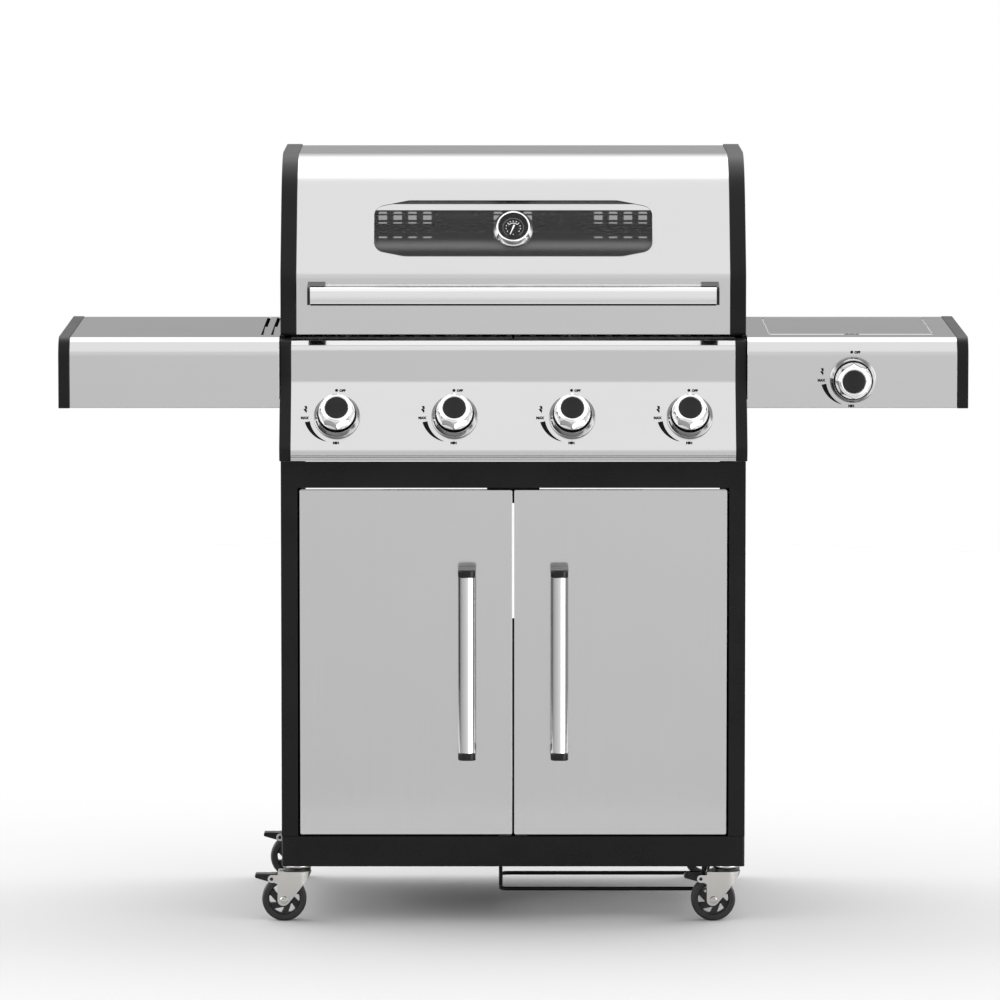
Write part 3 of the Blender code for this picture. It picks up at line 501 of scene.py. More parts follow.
TREAD = moulded("black_polyurethane", (0.012, 0.012, 0.0125), 0.50, 900, 0.00006, Specular_IOR_Level=0.25)
DISC = moulded("black_insert", (0.009, 0.009, 0.0092), 0.42, 2400, 0.00001, Specular_IOR_Level=0.14)
# near-black for the printed knob marks, and also painted shade filling the burner ports
INK_AND_PORT_SHADE = moulded("ink", (0.003, 0.003, 0.003), 0.6, Specular_IOR_Level=0.06)
WHITE = moulded("white_print", (0.80, 0.80, 0.79), 0.5, 3000, 0.00001)
GREY = moulded("grey_print", (0.12, 0.12, 0.12), 0.5, 3000, 0.00001)
IRON = cast("enamelled_cast_iron", (0.022, 0.022, 0.023), 0.45)
BURNER = heated("heat_tinted_steel", (0.30, 0.30, 0.295), 0.38)
WIRE = plated("nickel_wire", (0.62, 0.61, 0.60), 0.22)
PAN = plated("pressed_aluminium", (0.68, 0.68, 0.68), 0.34)
BRASS = plated("turned_brass", (0.62, 0.46, 0.20), 0.28)
ZINC = brushed("zinc_plate", (0.52, 0.51, 0.49), 0.20, "z", 0.000002)
# the pane's paler band round 1.0063 m up is painted reflection of the lit inside of the hood
GLASS = smoked("smoked_glass", (0.008, 0.008, 0.008), 0.46, 1.0063, 0.0105)
CLEAR = glazed("clear_glass", (0.02, 0.02, 0.02), 0.04, Specular_IOR_Level=0.3)


# ------------------------------------------------------------------ lid
def lid_corners():
    rise = LID_TOP - LID_BEND
    return [(LID_FRONT, LID_BOTTOM), (LID_FRONT, LID_BEND), (LID_FRONT + rise * LID_SLOPE, LID_TOP),
            (LID_BACK, LID_TOP), (LID_BACK, LID_BACK_BOTTOM)]


def window_outline():
    """The window, with drawn-in corners; (x, distance up the slope)."""
    corners = [(0.154, 0.0476), (0.206, 0.0365), (0.206, -0.0355), (0.161, -0.0452)]
    right = corners[::-1]
    left = [(-x, v) for x, v in corners]
    radii = [0.012, 0.017, 0.017, 0.012]
    return rounded(right + left, radii + radii, 10)


def hood():
    """Folded steel hood with a hem along its front edge, a window and two rows of vents in its back."""
    foot, back_foot = LID_BOTTOM + SHEET / 2, LID_BACK_BOTTOM + SHEET / 2
    corners = [(LID_FRONT + 0.011, foot), (LID_FRONT, foot), *lid_corners()[1:-1], (LID_BACK, back_foot),
               (LID_BACK - 0.010, back_foot)]
    profile = rounded(corners, [0, 0.0016, 0.030, LID_CROWN, 0.040, 0.0016, 0], 20, closed=False)
    half = LID_HALF - LID_CAP - GAP
    piece = sheet("hood", profile, -half, half, SHEET)
    tools = [plate("window_hole", [window_outline()], -0.03, 0.03, LID_FACE)]
    for low, high in VENT_ROWS:
        for first, count in VENT_GROUPS:
            for column in range(count):
                x = first + column * VENT_PITCH
                slot = rounded(rectangle((x - 0.0065, low), (x + 0.0065, high)),
                               min(0.002, 0.4 * (high - low)), 4)
                tools.append(plate("vent", [slot], -LID_BACK - 0.02, -LID_BACK + 0.02, FACING))
    combine(piece, tools)
    finish(soften(piece, 0.0004, 2, 50), STEEL, "lid", "stainless", "lid_hood")


def end_cap(name, outline, side, outer, inner, wall, rim):
    """An end piece pressed from sheet, hollow on its inner side, between two distances from the middle."""
    cap = plate(name, [outline], *sorted((side * outer, side * inner)), SIDEWAYS)
    low, high = sorted((side * (outer - wall), side * (inner - 0.01)))
    return combine(cap, [plate("hollow", [grown(outline, -rim)], low, high, SIDEWAYS)])


def lid_caps():
    """Pressed black end caps, hollow on the inner side."""
    sill = LID_BOTTOM + 0.001
    corners = [(LID_FRONT, sill), *lid_corners()[1:-1], (LID_BACK, sill)]
    outline = grown(rounded(corners, [0.003, 0.030, LID_CROWN, 0.040, 0.010], 20), 0.002)
    for side, name in SIDES:
        cap = end_cap(f"lid_end_cap_{name}", outline, side, LID_HALF, LID_HALF - LID_CAP, 0.003, 0.004)
        finish(soften(cap, 0.0016, 4), ENAMEL, "lid", "black_enamel", f"lid_cap_{name}")


def window():
    """Smoked pane behind the hood, held by a folded strip along its top, with clips at its sides."""
    pane = plate("window_pane", [grown(window_outline(), 0.010), circle(0.006, 32)],
                 GLASS_FRONT - 0.004, GLASS_FRONT, LID_FACE)
    finish(soften(pane, 0.0008, 2), GLASS, "lid", "smoked_glass", "lid_glass")
    strip = rounded([(-0.214, 0.0318), (0.214, 0.0318), (0.214, 0.0420), (-0.214, 0.0420)], 0.0006, 3)
    piece = plate("window_strip", [strip], -0.0026, -0.0014, LID_FACE)
    finish(soften(piece, 0.0003, 3), STEEL, "lid", "stainless")
    for side in (-1, 1):
        for v in (-0.028, 0.020):
            clip = sheet("window_clip", rounded([(0.0, 0.0), (0.0, 0.007), (0.009, 0.007), (0.009, 0.012)],
                                                [0, 0.0015, 0.0015, 0], 4, closed=False), -0.006, 0.006,
                         SHEET)
            clip.data.transform(Matrix.Translation((0, -0.004, -0.0075)) @ Matrix.Rotation(-pi / 2, 4, "X"))
            turn = Matrix.Rotation(pi / 2 if side > 0 else -pi / 2, 4, "Z")
            clip.data.transform(LID_FACE @ Matrix.Translation((side * 0.222, v, -0.0012)) @ turn)
            clip.name = f"window_clip_{'left' if side < 0 else 'right'}_{'low' if v < 0 else 'high'}"
            finish(soften(clip, 0.0003), POLISHED, "lid", "stainless")


def lid_handle():
    """Crowned bar with a groove along its lower edge, between two black brackets."""
    low, high, crown, brow = 0.924, 0.9495, 0.064, 0.0068
    face = [(crown * (1 - cos(radians(a))), low + 0.0042 + crown * (sin(radians(a)) + sin(radians(5))))
            for a in range(-5, 10)]
    centre = (face[-1][0] + brow * cos(radians(9)), face[-1][1] - brow * sin(radians(9)))
    face += [(centre[0] - brow * cos(radians(a)), centre[1] + brow * sin(radians(a)))
             for a in range(13, 91, 7)]
    back = [(0.0160 - brow + brow * sin(radians(a)), centre[1] + brow * cos(radians(a)))
            for a in range(10, 91, 8)]
    profile = [(0.0160, low), *reversed(back), *reversed(face), (0.0040, low + 0.0040),
               (0.0040, low + 0.0032), (0.0013, low + 0.0030), (0.0011, low + 0.0016), (0.0026, low)]
    bar = plate("lid_handle", [profile], -0.2990, 0.2990, SIDEWAYS)
    finish(soften(bar, 0.0), POLISHED, "lid", "handle_steel", "lid_handle_bar")
    # painted shade: a thin black strip under the bar's lower edge stands for the dark line of shade there
    pad = plate("lid_handle_shade_strip", [rectangle((0.0006, low - 0.0011), (0.0150, low - 0.0001))], -0.2985,
                0.2985, SIDEWAYS)
    finish(soften(pad, 0.0002), NYLON, "lid", "black_plastic")
    for side, name in SIDES:
        end, inner, outer = 0.2993, 0.2778, 0.3032
        low_x, high_x = sorted((side * end, side * outer))
        nose = [(0.0, low - 0.0003), (0.0, high - 0.005), (0.0055, high + 0.0003), (0.0507, high + 0.0050),
                (0.0507, low - 0.0003)]
        bracket = plate(f"lid_handle_end_{name}", [rounded(nose, [0.0015, 0.003, 0.003, 0.0003, 0.0003], 5)],
                        low_x, high_x, SIDEWAYS)
        low_x, high_x = sorted((side * inner, side * (end + 0.002)))
        arm = [(0.0164, low), (0.0164, high + 0.0010), (0.0507, high + 0.0050), (0.0507, low)]
        combine(bracket, [plate("arm", [arm], low_x, high_x, SIDEWAYS)], "UNION")
        finish(soften(bracket, 0.0007, 3), NYLON, "lid", "black_plastic", f"lid_handle_bracket_{name}")


def thermometer():
    """Dial gauge: conical chrome bezel, black dial with white marks, needle and a domed glass."""
    seat, top, dial = GLASS_FRONT + 0.0003, 0.0095, 0.0045
    outer = rounded([(0.0225, dial), (0.0225, top), (0.0243, top), (0.0290, seat + 0.0045),
                     (0.0298, seat + 0.003), (0.0298, seat), (0.0045, seat), (0.0045, seat - 0.012),
                     (0.0030, seat - 0.014), (0.0030, -0.070), (0, -0.070)],
                    [0, 0.0005, 0.0008, 0.001, 0.001, 0.0003, 0, 0.0005, 0.0005,
                                                     0.0015, 0], 4, closed=False)
    bezel = turned("thermometer_bezel", [(0, dial)] + outer, steps=96)
    finish(bezel, CHROME, "lid", "chrome", "thermometer", at=LID_FACE)
    nut = plate("thermometer_nut", [circle(0.0085, 6), circle(0.0047, 24)], -0.0118, -0.0072)
    finish(soften(nut, 0.0004), ZINC, "lid", "chrome", at=LID_FACE)
    face = turned("thermometer_dial", [(0, dial + 0.0004), (0.0180, dial + 0.0004), (0.0185, dial + 0.0009),
                                       (0.0223, dial + 0.0013), (0.0223, dial + 0.0001), (0, dial + 0.0001)],
                  steps=96)
    finish(face, DISC, "lid", "chrome", at=LID_FACE)

    marks = []
    level = dial + 0.00042
    printed = level, level + 0.00012
    reach = 0.0106
    for angle in (-125, -100, -75, -25, 0, 25, 75, 100, 125):
        centre = (reach * sin(radians(angle)), reach * cos(radians(angle)))
        marks.append(plate("dot", [circle(0.00075, 12, centre)], *printed))
    marks.append(plate("dot", [circle(0.0007, 12, (0, -0.0112))], *printed))
    brow = [(-0.0086, 0.0079), (-0.0057, 0.0047)] + \
           [(0.0078 * sin(a), 0.0078 * cos(a) - 0.0005) for a in (radians(d) for d in range(-44, 45, 8))] + \
           [(0.0057, 0.0047), (0.0086, 0.0079)]
    marks.append(ribbon("brow", brow, 0.0008, *printed))
    white = combine(marks[0], marks[1:], "UNION")
    white.name = "thermometer_marks"
    finish(soften(white, 0.0), WHITE, "lid", "dial_white", at=LID_FACE)
    arc = [(0.0152 * sin(a), 0.0152 * cos(a)) for a in (radians(d) for d in range(-146, 147, 4))]
    scale = ribbon("thermometer_scale", arc, 0.0008, *printed)
    finish(soften(scale, 0.0), GREY, "lid", "dial_white", at=LID_FACE)

    turn = Matrix.Rotation(radians(158), 4, "Z")
    hand = plate("needle_hand", [rounded([(-0.0011, -0.0042), (0.0011, -0.0042), (0.0004, 0.0125),
                                          (-0.0004, 0.0125)],
                                         [0.0008, 0.0008, 0.0002, 0.0002], 4)], 0.0010, 0.0015)
    boss = turned("boss", [(0, 0.0022), (0.0010, 0.0022), (0.0013, 0.0019), (0.0013, 0.0006), (0, 0.0006)],
                  steps=24)
    combine(hand, [boss], "UNION")
    finish(soften(hand, 0.00008, 1), WHITE, "needle", "dial_white", "thermometer_needle",
           at=LID_FACE @ Matrix.Translation((0, 0, dial)) @ turn)
    dome = turned("thermometer_glass", [(0, 0.0100), (0.010, 0.0098), (0.018, 0.0092), (0.0224, 0.0086),
                                        (0.0224, 0.0081), (0.018, 0.0087), (0.010, 0.0093), (0, 0.0095)],
                  steps=64)
    finish(dome, CLEAR, "lid", "smoked_glass", at=LID_FACE)


def ribbon(name, path, width, low, high):
    """A flat strip of even width along an open path."""
    left, right = [], []
    for i, point in enumerate(path):
        ahead = Vector(path[min(i + 1, len(path) - 1)]) - Vector(path[max(i - 1, 0)])
        side = Vector((-ahead.y, ahead.x)).normalized() * width / 2
        left.append(tuple(Vector(point) + side))
        right.append(tuple(Vector(point) - side))
    return plate(name, [left + right[::-1]], low, high)


# ------------------------------------------------------------------ control panel
def panel_frame(x):
    """A knob's place on the slope of the panel."""
    share = (PANEL_BROW - KNOB_Z) / PANEL_CLIMB
    y = PANEL_FRONT - share * PANEL_LEAN
    return Matrix.Translation((x, y, KNOB_Z)) @ Matrix.Rotation(PANEL_TURN, 4, "X")


def stem_hole(frame_of):
    """The tool for the hole that a knob's stem comes through."""
    return turned("hole", [(0, 0.01), (0.007, 0.01), (0.007, -0.01), (0, -0.01)], frame_of, 32)


def panel():
    """Folded fascia with a stepped toe and a bright bead along its top, between two end caps."""
    corners = [(0.048, 0.6965), (-0.0340, 0.6965), (-0.0340, 0.6992), (-0.0372, 0.7000), (-0.0372, 0.7020),
               (-0.0340, 0.7028), (-0.0340, 0.7042), (-0.0383, 0.7050), (-0.0383, 0.7132), (0.010, 0.809),
               (0.010, 0.8575), (0.0136, 0.8628), (0.0150, 0.8619), (0.0152, 0.8634), (0.0225, 0.8696),
               (0.048, 0.8702)]
    profile = rounded(corners, [0, 0.0008, 0.0003, 0.0008, 0.0008, 0.0003, 0.0003, 0.0014, 0.010, 0.010,
                                0.008, 0.0004, 0.0001, 0.0003, 0.0015, 0], 8, closed=False)
    front = sheet("panel_front", profile, -PANEL_HALF, PANEL_HALF, SHEET)
    combine(front, [stem_hole(panel_frame(x)) for x in KNOB_X])
    finish(soften(front, 0.0003, 2, 50), STEEL, "grill", "stainless", "control_panel")
    outline = grown(rounded(PANEL_CORNERS, PANEL_RADII, 12), 0.0006)
    for side, name in SIDES:
        cap = end_cap(f"panel_end_{name}", outline, side, LID_HALF, PANEL_HALF + GAP, 0.0025, 0.0025)
        finish(soften(cap, 0.0012, 3), ENAMEL, "grill", "black_enamel", f"panel_cap_{name}")


def knob_meshes():
    """One knob's pieces, drawn once: body, face ring with its pointer, insert and stepped bezel."""
    body = turned("knob_body", rounded([(0, 0.0372), (0.0222, 0.0372), (0.0258, 0.0300), (0.0270, 0.0170),
                                        (0.0262, 0.0146), (0.0050, 0.0146), (0.0050, 0.0325), (0, 0.0325)],
                                       [0, 0.0010, 0.004, 0.0008, 0.0008, 0.0004, 0.0003, 0], 5,
                                       closed=False),
                  steps=96)
    facets = []
    for i in range(8):
        turn = Matrix.Rotation(radians(i * 45 + 22.5), 4, "Z")
        slice_of = Matrix.Translation((0.0, -0.0251, 0.0200)) @ Matrix.Rotation(radians(-9), 4, "X")
        tool = plate("facet", [rectangle((-0.03, -0.03), (0.03, 0.0))], -0.0003, 0.03, turn @ slice_of)
        facets.append(tool)
    combine(body, facets)
    soften(body, 0.0003, 2, 12)
    ring = turned("knob_ring", rounded([(0.0172, 0.0378), (0.0178, 0.0386), (0.0194, 0.0386),
                                        (0.0214, 0.0374), (0.0214, 0.0368), (0.0172, 0.0368)],
                                       [0.0002, 0.0004, 0.0016, 0.0003, 0, 0], 5),
                  steps=96, ring=True)
    pointer = plate("pointer", [rounded([(-0.0034, 0.0190), (0.0034, 0.0190), (0.0, 0.0243)], 0.0004, 3)],
                    0.0350, 0.0380)
    combine(ring, [pointer], "UNION")
    soften(ring, 0.0, 0)
    insert = turned("knob_insert", rounded([(0, 0.0380), (0.0150, 0.0380), (0.0170, 0.0374), (0.0170, 0.0366),
                                            (0, 0.0366)], [0, 0.001, 0.0002, 0, 0], 4, closed=False),
                    steps=96)
    bezel = turned("knob_bezel", rounded([(0.0285, 0.0002), (0.0285, 0.0112), (0.0296, 0.0116),
                                          (0.0322, 0.0060), (0.0330, 0.0040), (0.0340, 0.0036),
                                          (0.0342, 0.0002)],
                                         [0, 0.0004, 0.0004, 0.0008, 0.0004, 0.0006, 0], 5), steps=96,
                   ring=True)
    well = turned("knob_well", [(0.0284, 0.0090), (0.0284, 0.0002), (0.0075, 0.0002), (0.0075, 0.0020),
                                (0.0270, 0.0020), (0.0276, 0.0090)], steps=64, ring=True)
    return body, ring, insert, bezel, well


def lettering(name, word, size, at):
    """A printed word, centred on a point of the face."""
    curve = bpy.data.curves.new(name, "FONT")
    curve.body = word
    curve.size = size
    curve.align_x = "CENTER"
    curve.align_y = "CENTER"
    curve.extrude = 0.00005
    curve.resolution_u = 3
    curve.offset = 0.0004
    return from_curve(name, curve, Matrix.Translation((*at, 0.0001)))


def knob_marks():
    """The setting marks printed round a knob: off, spark, most, and a wedge down to least."""
    low, high = 0.00005, 0.00015
    outer, inner = [], []
    for share in (i / 24 for i in range(25)):
        angle = radians(191.5 + 58 * share)
        reach = 0.0405 + 0.0021 * share
        inner.append((reach * cos(angle), reach * sin(angle)))
        reach += 0.0076 * (1 - share) ** 0.85
        outer.append((reach * cos(angle), reach * sin(angle)))
    spark = [(-0.0482, 0.0160), (-0.0442, 0.0160), (-0.0436, 0.0116), (-0.0458, 0.0108), (-0.0438, 0.0090),
             (-0.0450, 0.0048), (-0.0470, 0.0078), (-0.0493, 0.0106), (-0.0464, 0.0122)]
    pieces = [plate("wedge", [outer + inner[-2::-1]], low, high), plate("spark", [spark], low, high),
              plate("dot", [circle(0.0023, 20, (-0.0008, 0.0408))], low, high)]
    words = [lettering("off", "OFF", 0.0050, (0.0078, 0.0402)),
             lettering("max", "MAX", 0.0052, (-0.0474, -0.0030)),
             lettering("min", "MIN", 0.0050, (-0.0012, -0.0425))]
    return pieces + words


def joined(name, pieces):
    """Separate shells in one mesh."""
    shape = bmesh.new()
    for piece in pieces:
        shape.from_mesh(piece.data)
        bpy.data.objects.remove(piece, do_unlink=True)
    return from_bmesh(name, shape)


def knobs():
    body, ring, insert, bezel, well = knob_meshes()
    marks = joined("knob_marks", knob_marks())
    for index in range(1, 6):
        place = panel_frame(KNOB_X[index - 1]) if index < 5 else Matrix.Translation(SIDE_KNOB) @ FACING
        # the first knob rests a quarter turn on, at its highest setting
        turn = place @ Matrix.Rotation(radians(90), 4, "Z") if index == 1 else place
        print_at = place @ Matrix.Translation((0, 0.0013, 0)) if index < 5 else (
            place @ Matrix.Translation((-0.0012, 0.0018, 0)) @ Matrix.Diagonal((0.957, 0.957, 1, 1)))
        for shape, name, material, slot, rides, at in (
                (body, "knob_body", CHROME, "chrome", f"knob_{index}", turn),
                (ring, "knob_ring", BRIGHT, "chrome", f"knob_{index}", turn),
                (insert, "knob_insert", DISC, "chrome", f"knob_{index}", turn),
                (bezel, "knob_bezel", DARK_CHROME, "chrome", "grill", place),
                (well, "knob_well", NYLON, "black_plastic", "grill", place),
                (marks, "knob_marks", INK_AND_PORT_SHADE, "black_plastic", "grill", print_at)):
            piece = new_object(f"{name}_{index}", shape.data.copy())
            nodes = [f"knob_{index}"] if name == "knob_body" else []
            finish(piece, material, rides, slot, *nodes, at=at)
    for shape in (body, ring, insert, bezel, well, marks):
        bpy.data.objects.remove(shape, do_unlink=True)


# ------------------------------------------------------------------ shelves
def shelves():
    """Folded shelf tops with black ends; the right one carries the side burner's cover and knob."""
    length = SHELF_OUTER - SHELF_CAP - GAP
    foot, hem = SHELF_LOW + SHEET / 2, 0.008
    corners = [(hem, foot), (0, foot), (0, SHELF_HIGH), (SHELF_DEPTH, SHELF_HIGH), (SHELF_DEPTH, foot),
               (SHELF_DEPTH - hem, foot)]
    profile = rounded(corners, [0, 0.0015, SHELF_ROUND, SHELF_ROUND, 0.0015, 0], 12, closed=False)
    for side, name in SIDES:
        low, high = sorted((side * SHELF_INNER, side * length))
        pan = sheet(f"{name}_shelf_top", profile, low, high, SHEET)
        if side < 0:
            tools = [plate("slot", [rounded(rectangle((x - 0.0027, 0.060), (x + 0.0027, 0.384)), 0.0026, 6)],
                           SHELF_HIGH - 0.02, SHELF_HIGH + 0.02) for x in SLOT_X.values()]
        else:
            tools = [plate("well", [rectangle((0.3784, 0.070), (0.6226, 0.384))], 0.86, 0.89),
                     stem_hole(Matrix.Translation(SIDE_KNOB) @ FACING)]
        combine(pan, tools)
        finish(soften(pan, 0.0004, 2, 50), STEEL, "grill", "stainless", f"{name}_shelf")
        outline = grown(rounded(rectangle((0, SHELF_LOW + 0.001), (SHELF_DEPTH, SHELF_HIGH)),
                                [0.003, 0.003, SHELF_ROUND, SHELF_ROUND], 10), 0.001)
        cap = end_cap(f"shelf_end_{name}", outline, side, SHELF_OUTER, SHELF_OUTER - SHELF_CAP, 0.0025, 0.003)
        finish(soften(cap, 0.0012, 3), ENAMEL, "grill", "black_enamel", f"shelf_cap_{name}")

    fold = [(0.0712, 0.8712), (0.0712, 0.8752), (0.3828, 0.8752), (0.3828, 0.8712)]
    cover = sheet("burner_cover", rounded(fold, [0, 0.0024, 0.0024, 0], 8, closed=False), 0.3805, 0.6204,
                  SHEET)
    combine(cover, [plate("scoop", [circle(0.011, 32, (0.501, 0.0712))], 0.86, 0.89)])
    finish(soften(cover, 0.0003, 3, 50), STEEL, "side_lid", "stainless", "side_burner_lid")
    # painted shade: a black ring just under the cover's edges makes the gaps round the cover dark
    gap_shade_ring = plate("burner_gap_shade", [rounded(rectangle((0.3750, 0.0665), (0.6260, 0.3875)), 0.002, 4),
                                     rounded(rectangle((0.3900, 0.0815), (0.6110, 0.3725)), 0.002, 4)],
                   0.8690, 0.8704)
    finish(soften(gap_shade_ring, 0.0003), NYLON, "grill", "black_plastic")
    for name, x in SLOT_X.items():
        slope = [(0.050, 0.8668), (0.150, 0.8686), (0.250, 0.8716)]
        ramp = sheet(f"slot_liner_{name}", slope, x - 0.0045, x + 0.0045, 0.0008)
        finish(soften(ramp, 0.0002), STEEL, "grill", "stainless")


# ------------------------------------------------------------------ doors
def doors():
    """Door panels and their bowed handle bars between black end blocks."""
    for side, name in SIDES:
        refined(f"door_{name}", STEEL_UP, f"{name}_door", "stainless", 0.0009, 3, f"{name}_door_panel")
        x, front = side * DOOR_HANDLE_X, DOOR_HANDLE_FRONT
        half, depth, crown, recess = 0.0125, 0.018, 0.016, 0.0008
        deep = front + recess + depth
        sweep = asin(half / crown)
        oval = [(x + crown * sin(sweep * a / 16), front + recess + crown * (1 - cos(sweep * a / 16)))
                for a in range(-16, 17)] + [(x + half, deep), (x - half, deep)]
        bar = plate(f"{name}_door_bar", [oval], 0.2620, 0.5240)
        finish(soften(bar, 0.0), POLISHED_UP, f"{name}_door", "handle_steel", f"door_handle_{name}")
        for end, low, high in (("low", 0.2515, 0.2630), ("high", 0.5230, 0.5345)):
            outline = rounded(rectangle((x - 0.0133, front), (x + 0.0133, 0.0247)),
                              [0.009, 0.009, 0.002, 0.002], 8)
            cap = plate(f"{name}_door_bar_end_{end}", [outline], low, high)
            finish(soften(cap, 0.0022, 5, 60), NYLON, f"{name}_door", "black_plastic")


# ------------------------------------------------------------------ cabinet and cooking parts
def cabinet():
    """The frame, panels, firebox, grates and trays, which keep their plain shapes with finer edges."""
    for node, width in (("cabinet_frame", 0.0006), ("side_panel_left", 0.0003), ("side_panel_right", 0.0003),
                        ("back_panel", 0.0003), ("base_tray", 0.0008), ("firebox", 0.0006)):
        refined(node, ENAMEL, "grill", "black_enamel", width)
    for side, name in SIDES:
        refined(f"cooking_grate_{name}", IRON, "grill", "cast_iron", 0.0012)
    refined("grease_tray", PAN, "drip_tray", "burner_pan", 0.0003)
    catch()


def catch():
    """Magnetic catch under the top rail, a sill behind the doors' lower edges and its rubber pads."""
    bracket = plate("catch_bracket", [rounded(rectangle((-0.039, 0.6263), (0.039, 0.6508)), 0.002, 4)],
                    -0.0480, -0.0465, FACING)
    shelf = plate("shelf", [rectangle((-0.039, 0.0435), (0.039, 0.0480))], 0.6495, 0.6508)
    combine(bracket, [shelf], "UNION")
    finish(soften(bracket, 0.0004), ENAMEL, "grill", "black_enamel")
    sill = plate("door_sill", [rounded(rectangle((-0.318, 0.1200), (0.318, 0.1480)), 0.001, 3)], -0.0468,
                 -0.0456, FACING)
    finish(soften(sill, 0.0004), ENAMEL, "grill", "black_enamel")
    for side, name in SIDES:
        face = rectangle((side * 0.019 - 0.013, 0.6385), (side * 0.019 + 0.013, 0.6485))
        magnet = plate(f"catch_magnet_{name}", [rounded(face, 0.001, 3)], -0.0463, -0.0425, FACING)
        finish(soften(magnet, 0.0005), NYLON, "grill", "black_plastic")
        pads = []
        for ends in (0.0030, 0.0125), (0.0140, 0.0210):
            low, high = sorted(side * end for end in ends)
            outline = rounded(rectangle((low, 0.1312), (high, 0.1336)), 0.0004, 3)
            pads.append(plate("pad", [outline], -0.0330, -0.0246, FACING))
        finish(joined(f"door_pads_{name}", [soften(pad, 0.0004) for pad in pads]), NYLON, "grill",
               "black_plastic")


# ------------------------------------------------------------------ casters
TRAIL, AXLE_Z = 0.020, 0.033
BRAKE_X, BRAKE_Z = -0.0386, 0.064
CHEEK, CHEEK_INNER = 0.0170, 0.0147


def wheel():
    """Tyre and six-windowed wheel, drawn round z."""
    piece = turned("wheel", rounded([(0.0330, 0.0110), (0.0330, -0.0110), (0.0238, -0.0110),
                                     (0.0232, -0.0055), (0.0100, -0.0062), (0.0085, -0.0112),
                                     (0.0043, -0.0112), (0.0043, 0.0112), (0.0085, 0.0112), (0.0100, 0.0062),
                                     (0.0232, 0.0055), (0.0238, 0.0110)],
                                    [0.0040, 0.0040, 0.0008, 0.0006, 0.0006, 0.0006, 0, 0, 0.0006, 0.0006,
                                     0.0006, 0.0008], 5), steps=96, ring=True)
    windows = []
    for turn in range(6):
        start = radians(164 + 60 * turn)
        rim = [(0.0226 * cos(start + radians(a)), 0.0226 * sin(start + radians(a))) for a in (0, 11, 22, 34)]
        inner = (0.0122 * cos(start + radians(47)), 0.0122 * sin(start + radians(47)))
        windows.append(plate("gap", [rounded(rim + [inner], [0.0012, 0, 0, 0.0012, 0.0010], 4)], -0.02, 0.02))
    combine(piece, windows)
    return soften(piece, 0.0004, 2, 40)


def fork():
    """Pressed fork with a rounded front, an ear for the brake and a slanting lower edge."""
    bow = [(0.002 + 0.0185 * cos(radians(a)), CHEEK * sin(radians(a))) for a in range(-90, 91, 6)]
    wall = CHEEK - CHEEK_INNER
    hollow = [(0.002 + (0.0185 - wall) * cos(radians(a)), CHEEK_INNER * sin(radians(a)))
              for a in range(-90, 91, 6)]
    body = plate("fork", [bow + [(-0.046, CHEEK), (-0.046, -CHEEK)]], 0.0220, 0.0745)
    inside = plate("inside", [hollow + [(-0.060, CHEEK_INNER), (-0.060, -CHEEK_INNER)]], 0.0, 0.0745 - wall)
    combine(body, [inside])
    side = [(0.0206, 0.0800), (0.0206, 0.0740), (0.0160, 0.0650), (-0.0029, 0.0402), (-0.0168, 0.0237),
            (-0.0297, 0.0237), (-0.0297, 0.0560), (-0.0340, 0.0583), (-0.0443, 0.0583), (-0.0443, 0.0697),
            (-0.0295, 0.0697), (-0.0290, 0.0800)]
    outline = rounded(side, [0, 0.002, 0.010, 0.02, 0.0095, 0.0080, 0.003, 0.003, 0.0055, 0.0055, 0.0015, 0],
                      6)
    combine(body, [plate("side", [outline], -0.03, 0.03, FACING)], "INTERSECT")
    notch = plate("notch", [circle(0.006, 24, (-0.021, 0.0))], 0.070, 0.080)
    combine(body, [notch])
    return soften(body, 0.0005, 3, 50)


def lever():
    """Brake pedal with a ribbed top."""
    outline = rounded([(-0.0310, 0.0654), (-0.0310, 0.0703), (-0.0633, 0.0703), (-0.0636, 0.0650),
                       (-0.0446, 0.0594), (-0.0380, 0.0604)], [0.0008, 0.0012, 0.0020, 0.0020, 0.002, 0.001],
                      5)
    body = plate("lever", [outline], -0.0100, 0.0100, FACING)
    # two bores make the slot that clears the pin as the lever turns
    ends = (BRAKE_X, BRAKE_Z), (BRAKE_X - 0.0012, BRAKE_Z - 0.0006)
    combine(body, [plate("bore", [circle(0.0019, 24, end)], -0.0200, 0.0200, FACING) for end in ends])
    body = soften(body, 0.0006, 3)
    ribs = [plate("rib", [rounded(rectangle((x, -0.0080), (x + 0.0012, 0.0080)), 0.0005, 3)], 0.0698, 0.0708)
            for x in (-0.0600, -0.0572, -0.0544, -0.0516, -0.0488)]
    combine(body, ribs, "UNION")
    return soften(body, 0.0, 0)


def rivet(radius, length):
    """Pan-headed rivet with a dimple at each end, along y."""
    half = [(0, length - 0.0010), (radius * 0.30, length - 0.0010), (radius * 0.42, length),
            (radius * 0.85, length), (radius, length - 0.0010), (radius, length - 0.0022),
            (radius * 0.55, length - 0.0022)]
    lower = [(r, -z) for r, z in reversed(half)]
    return turned("rivet", half + lower, FACING, 40)


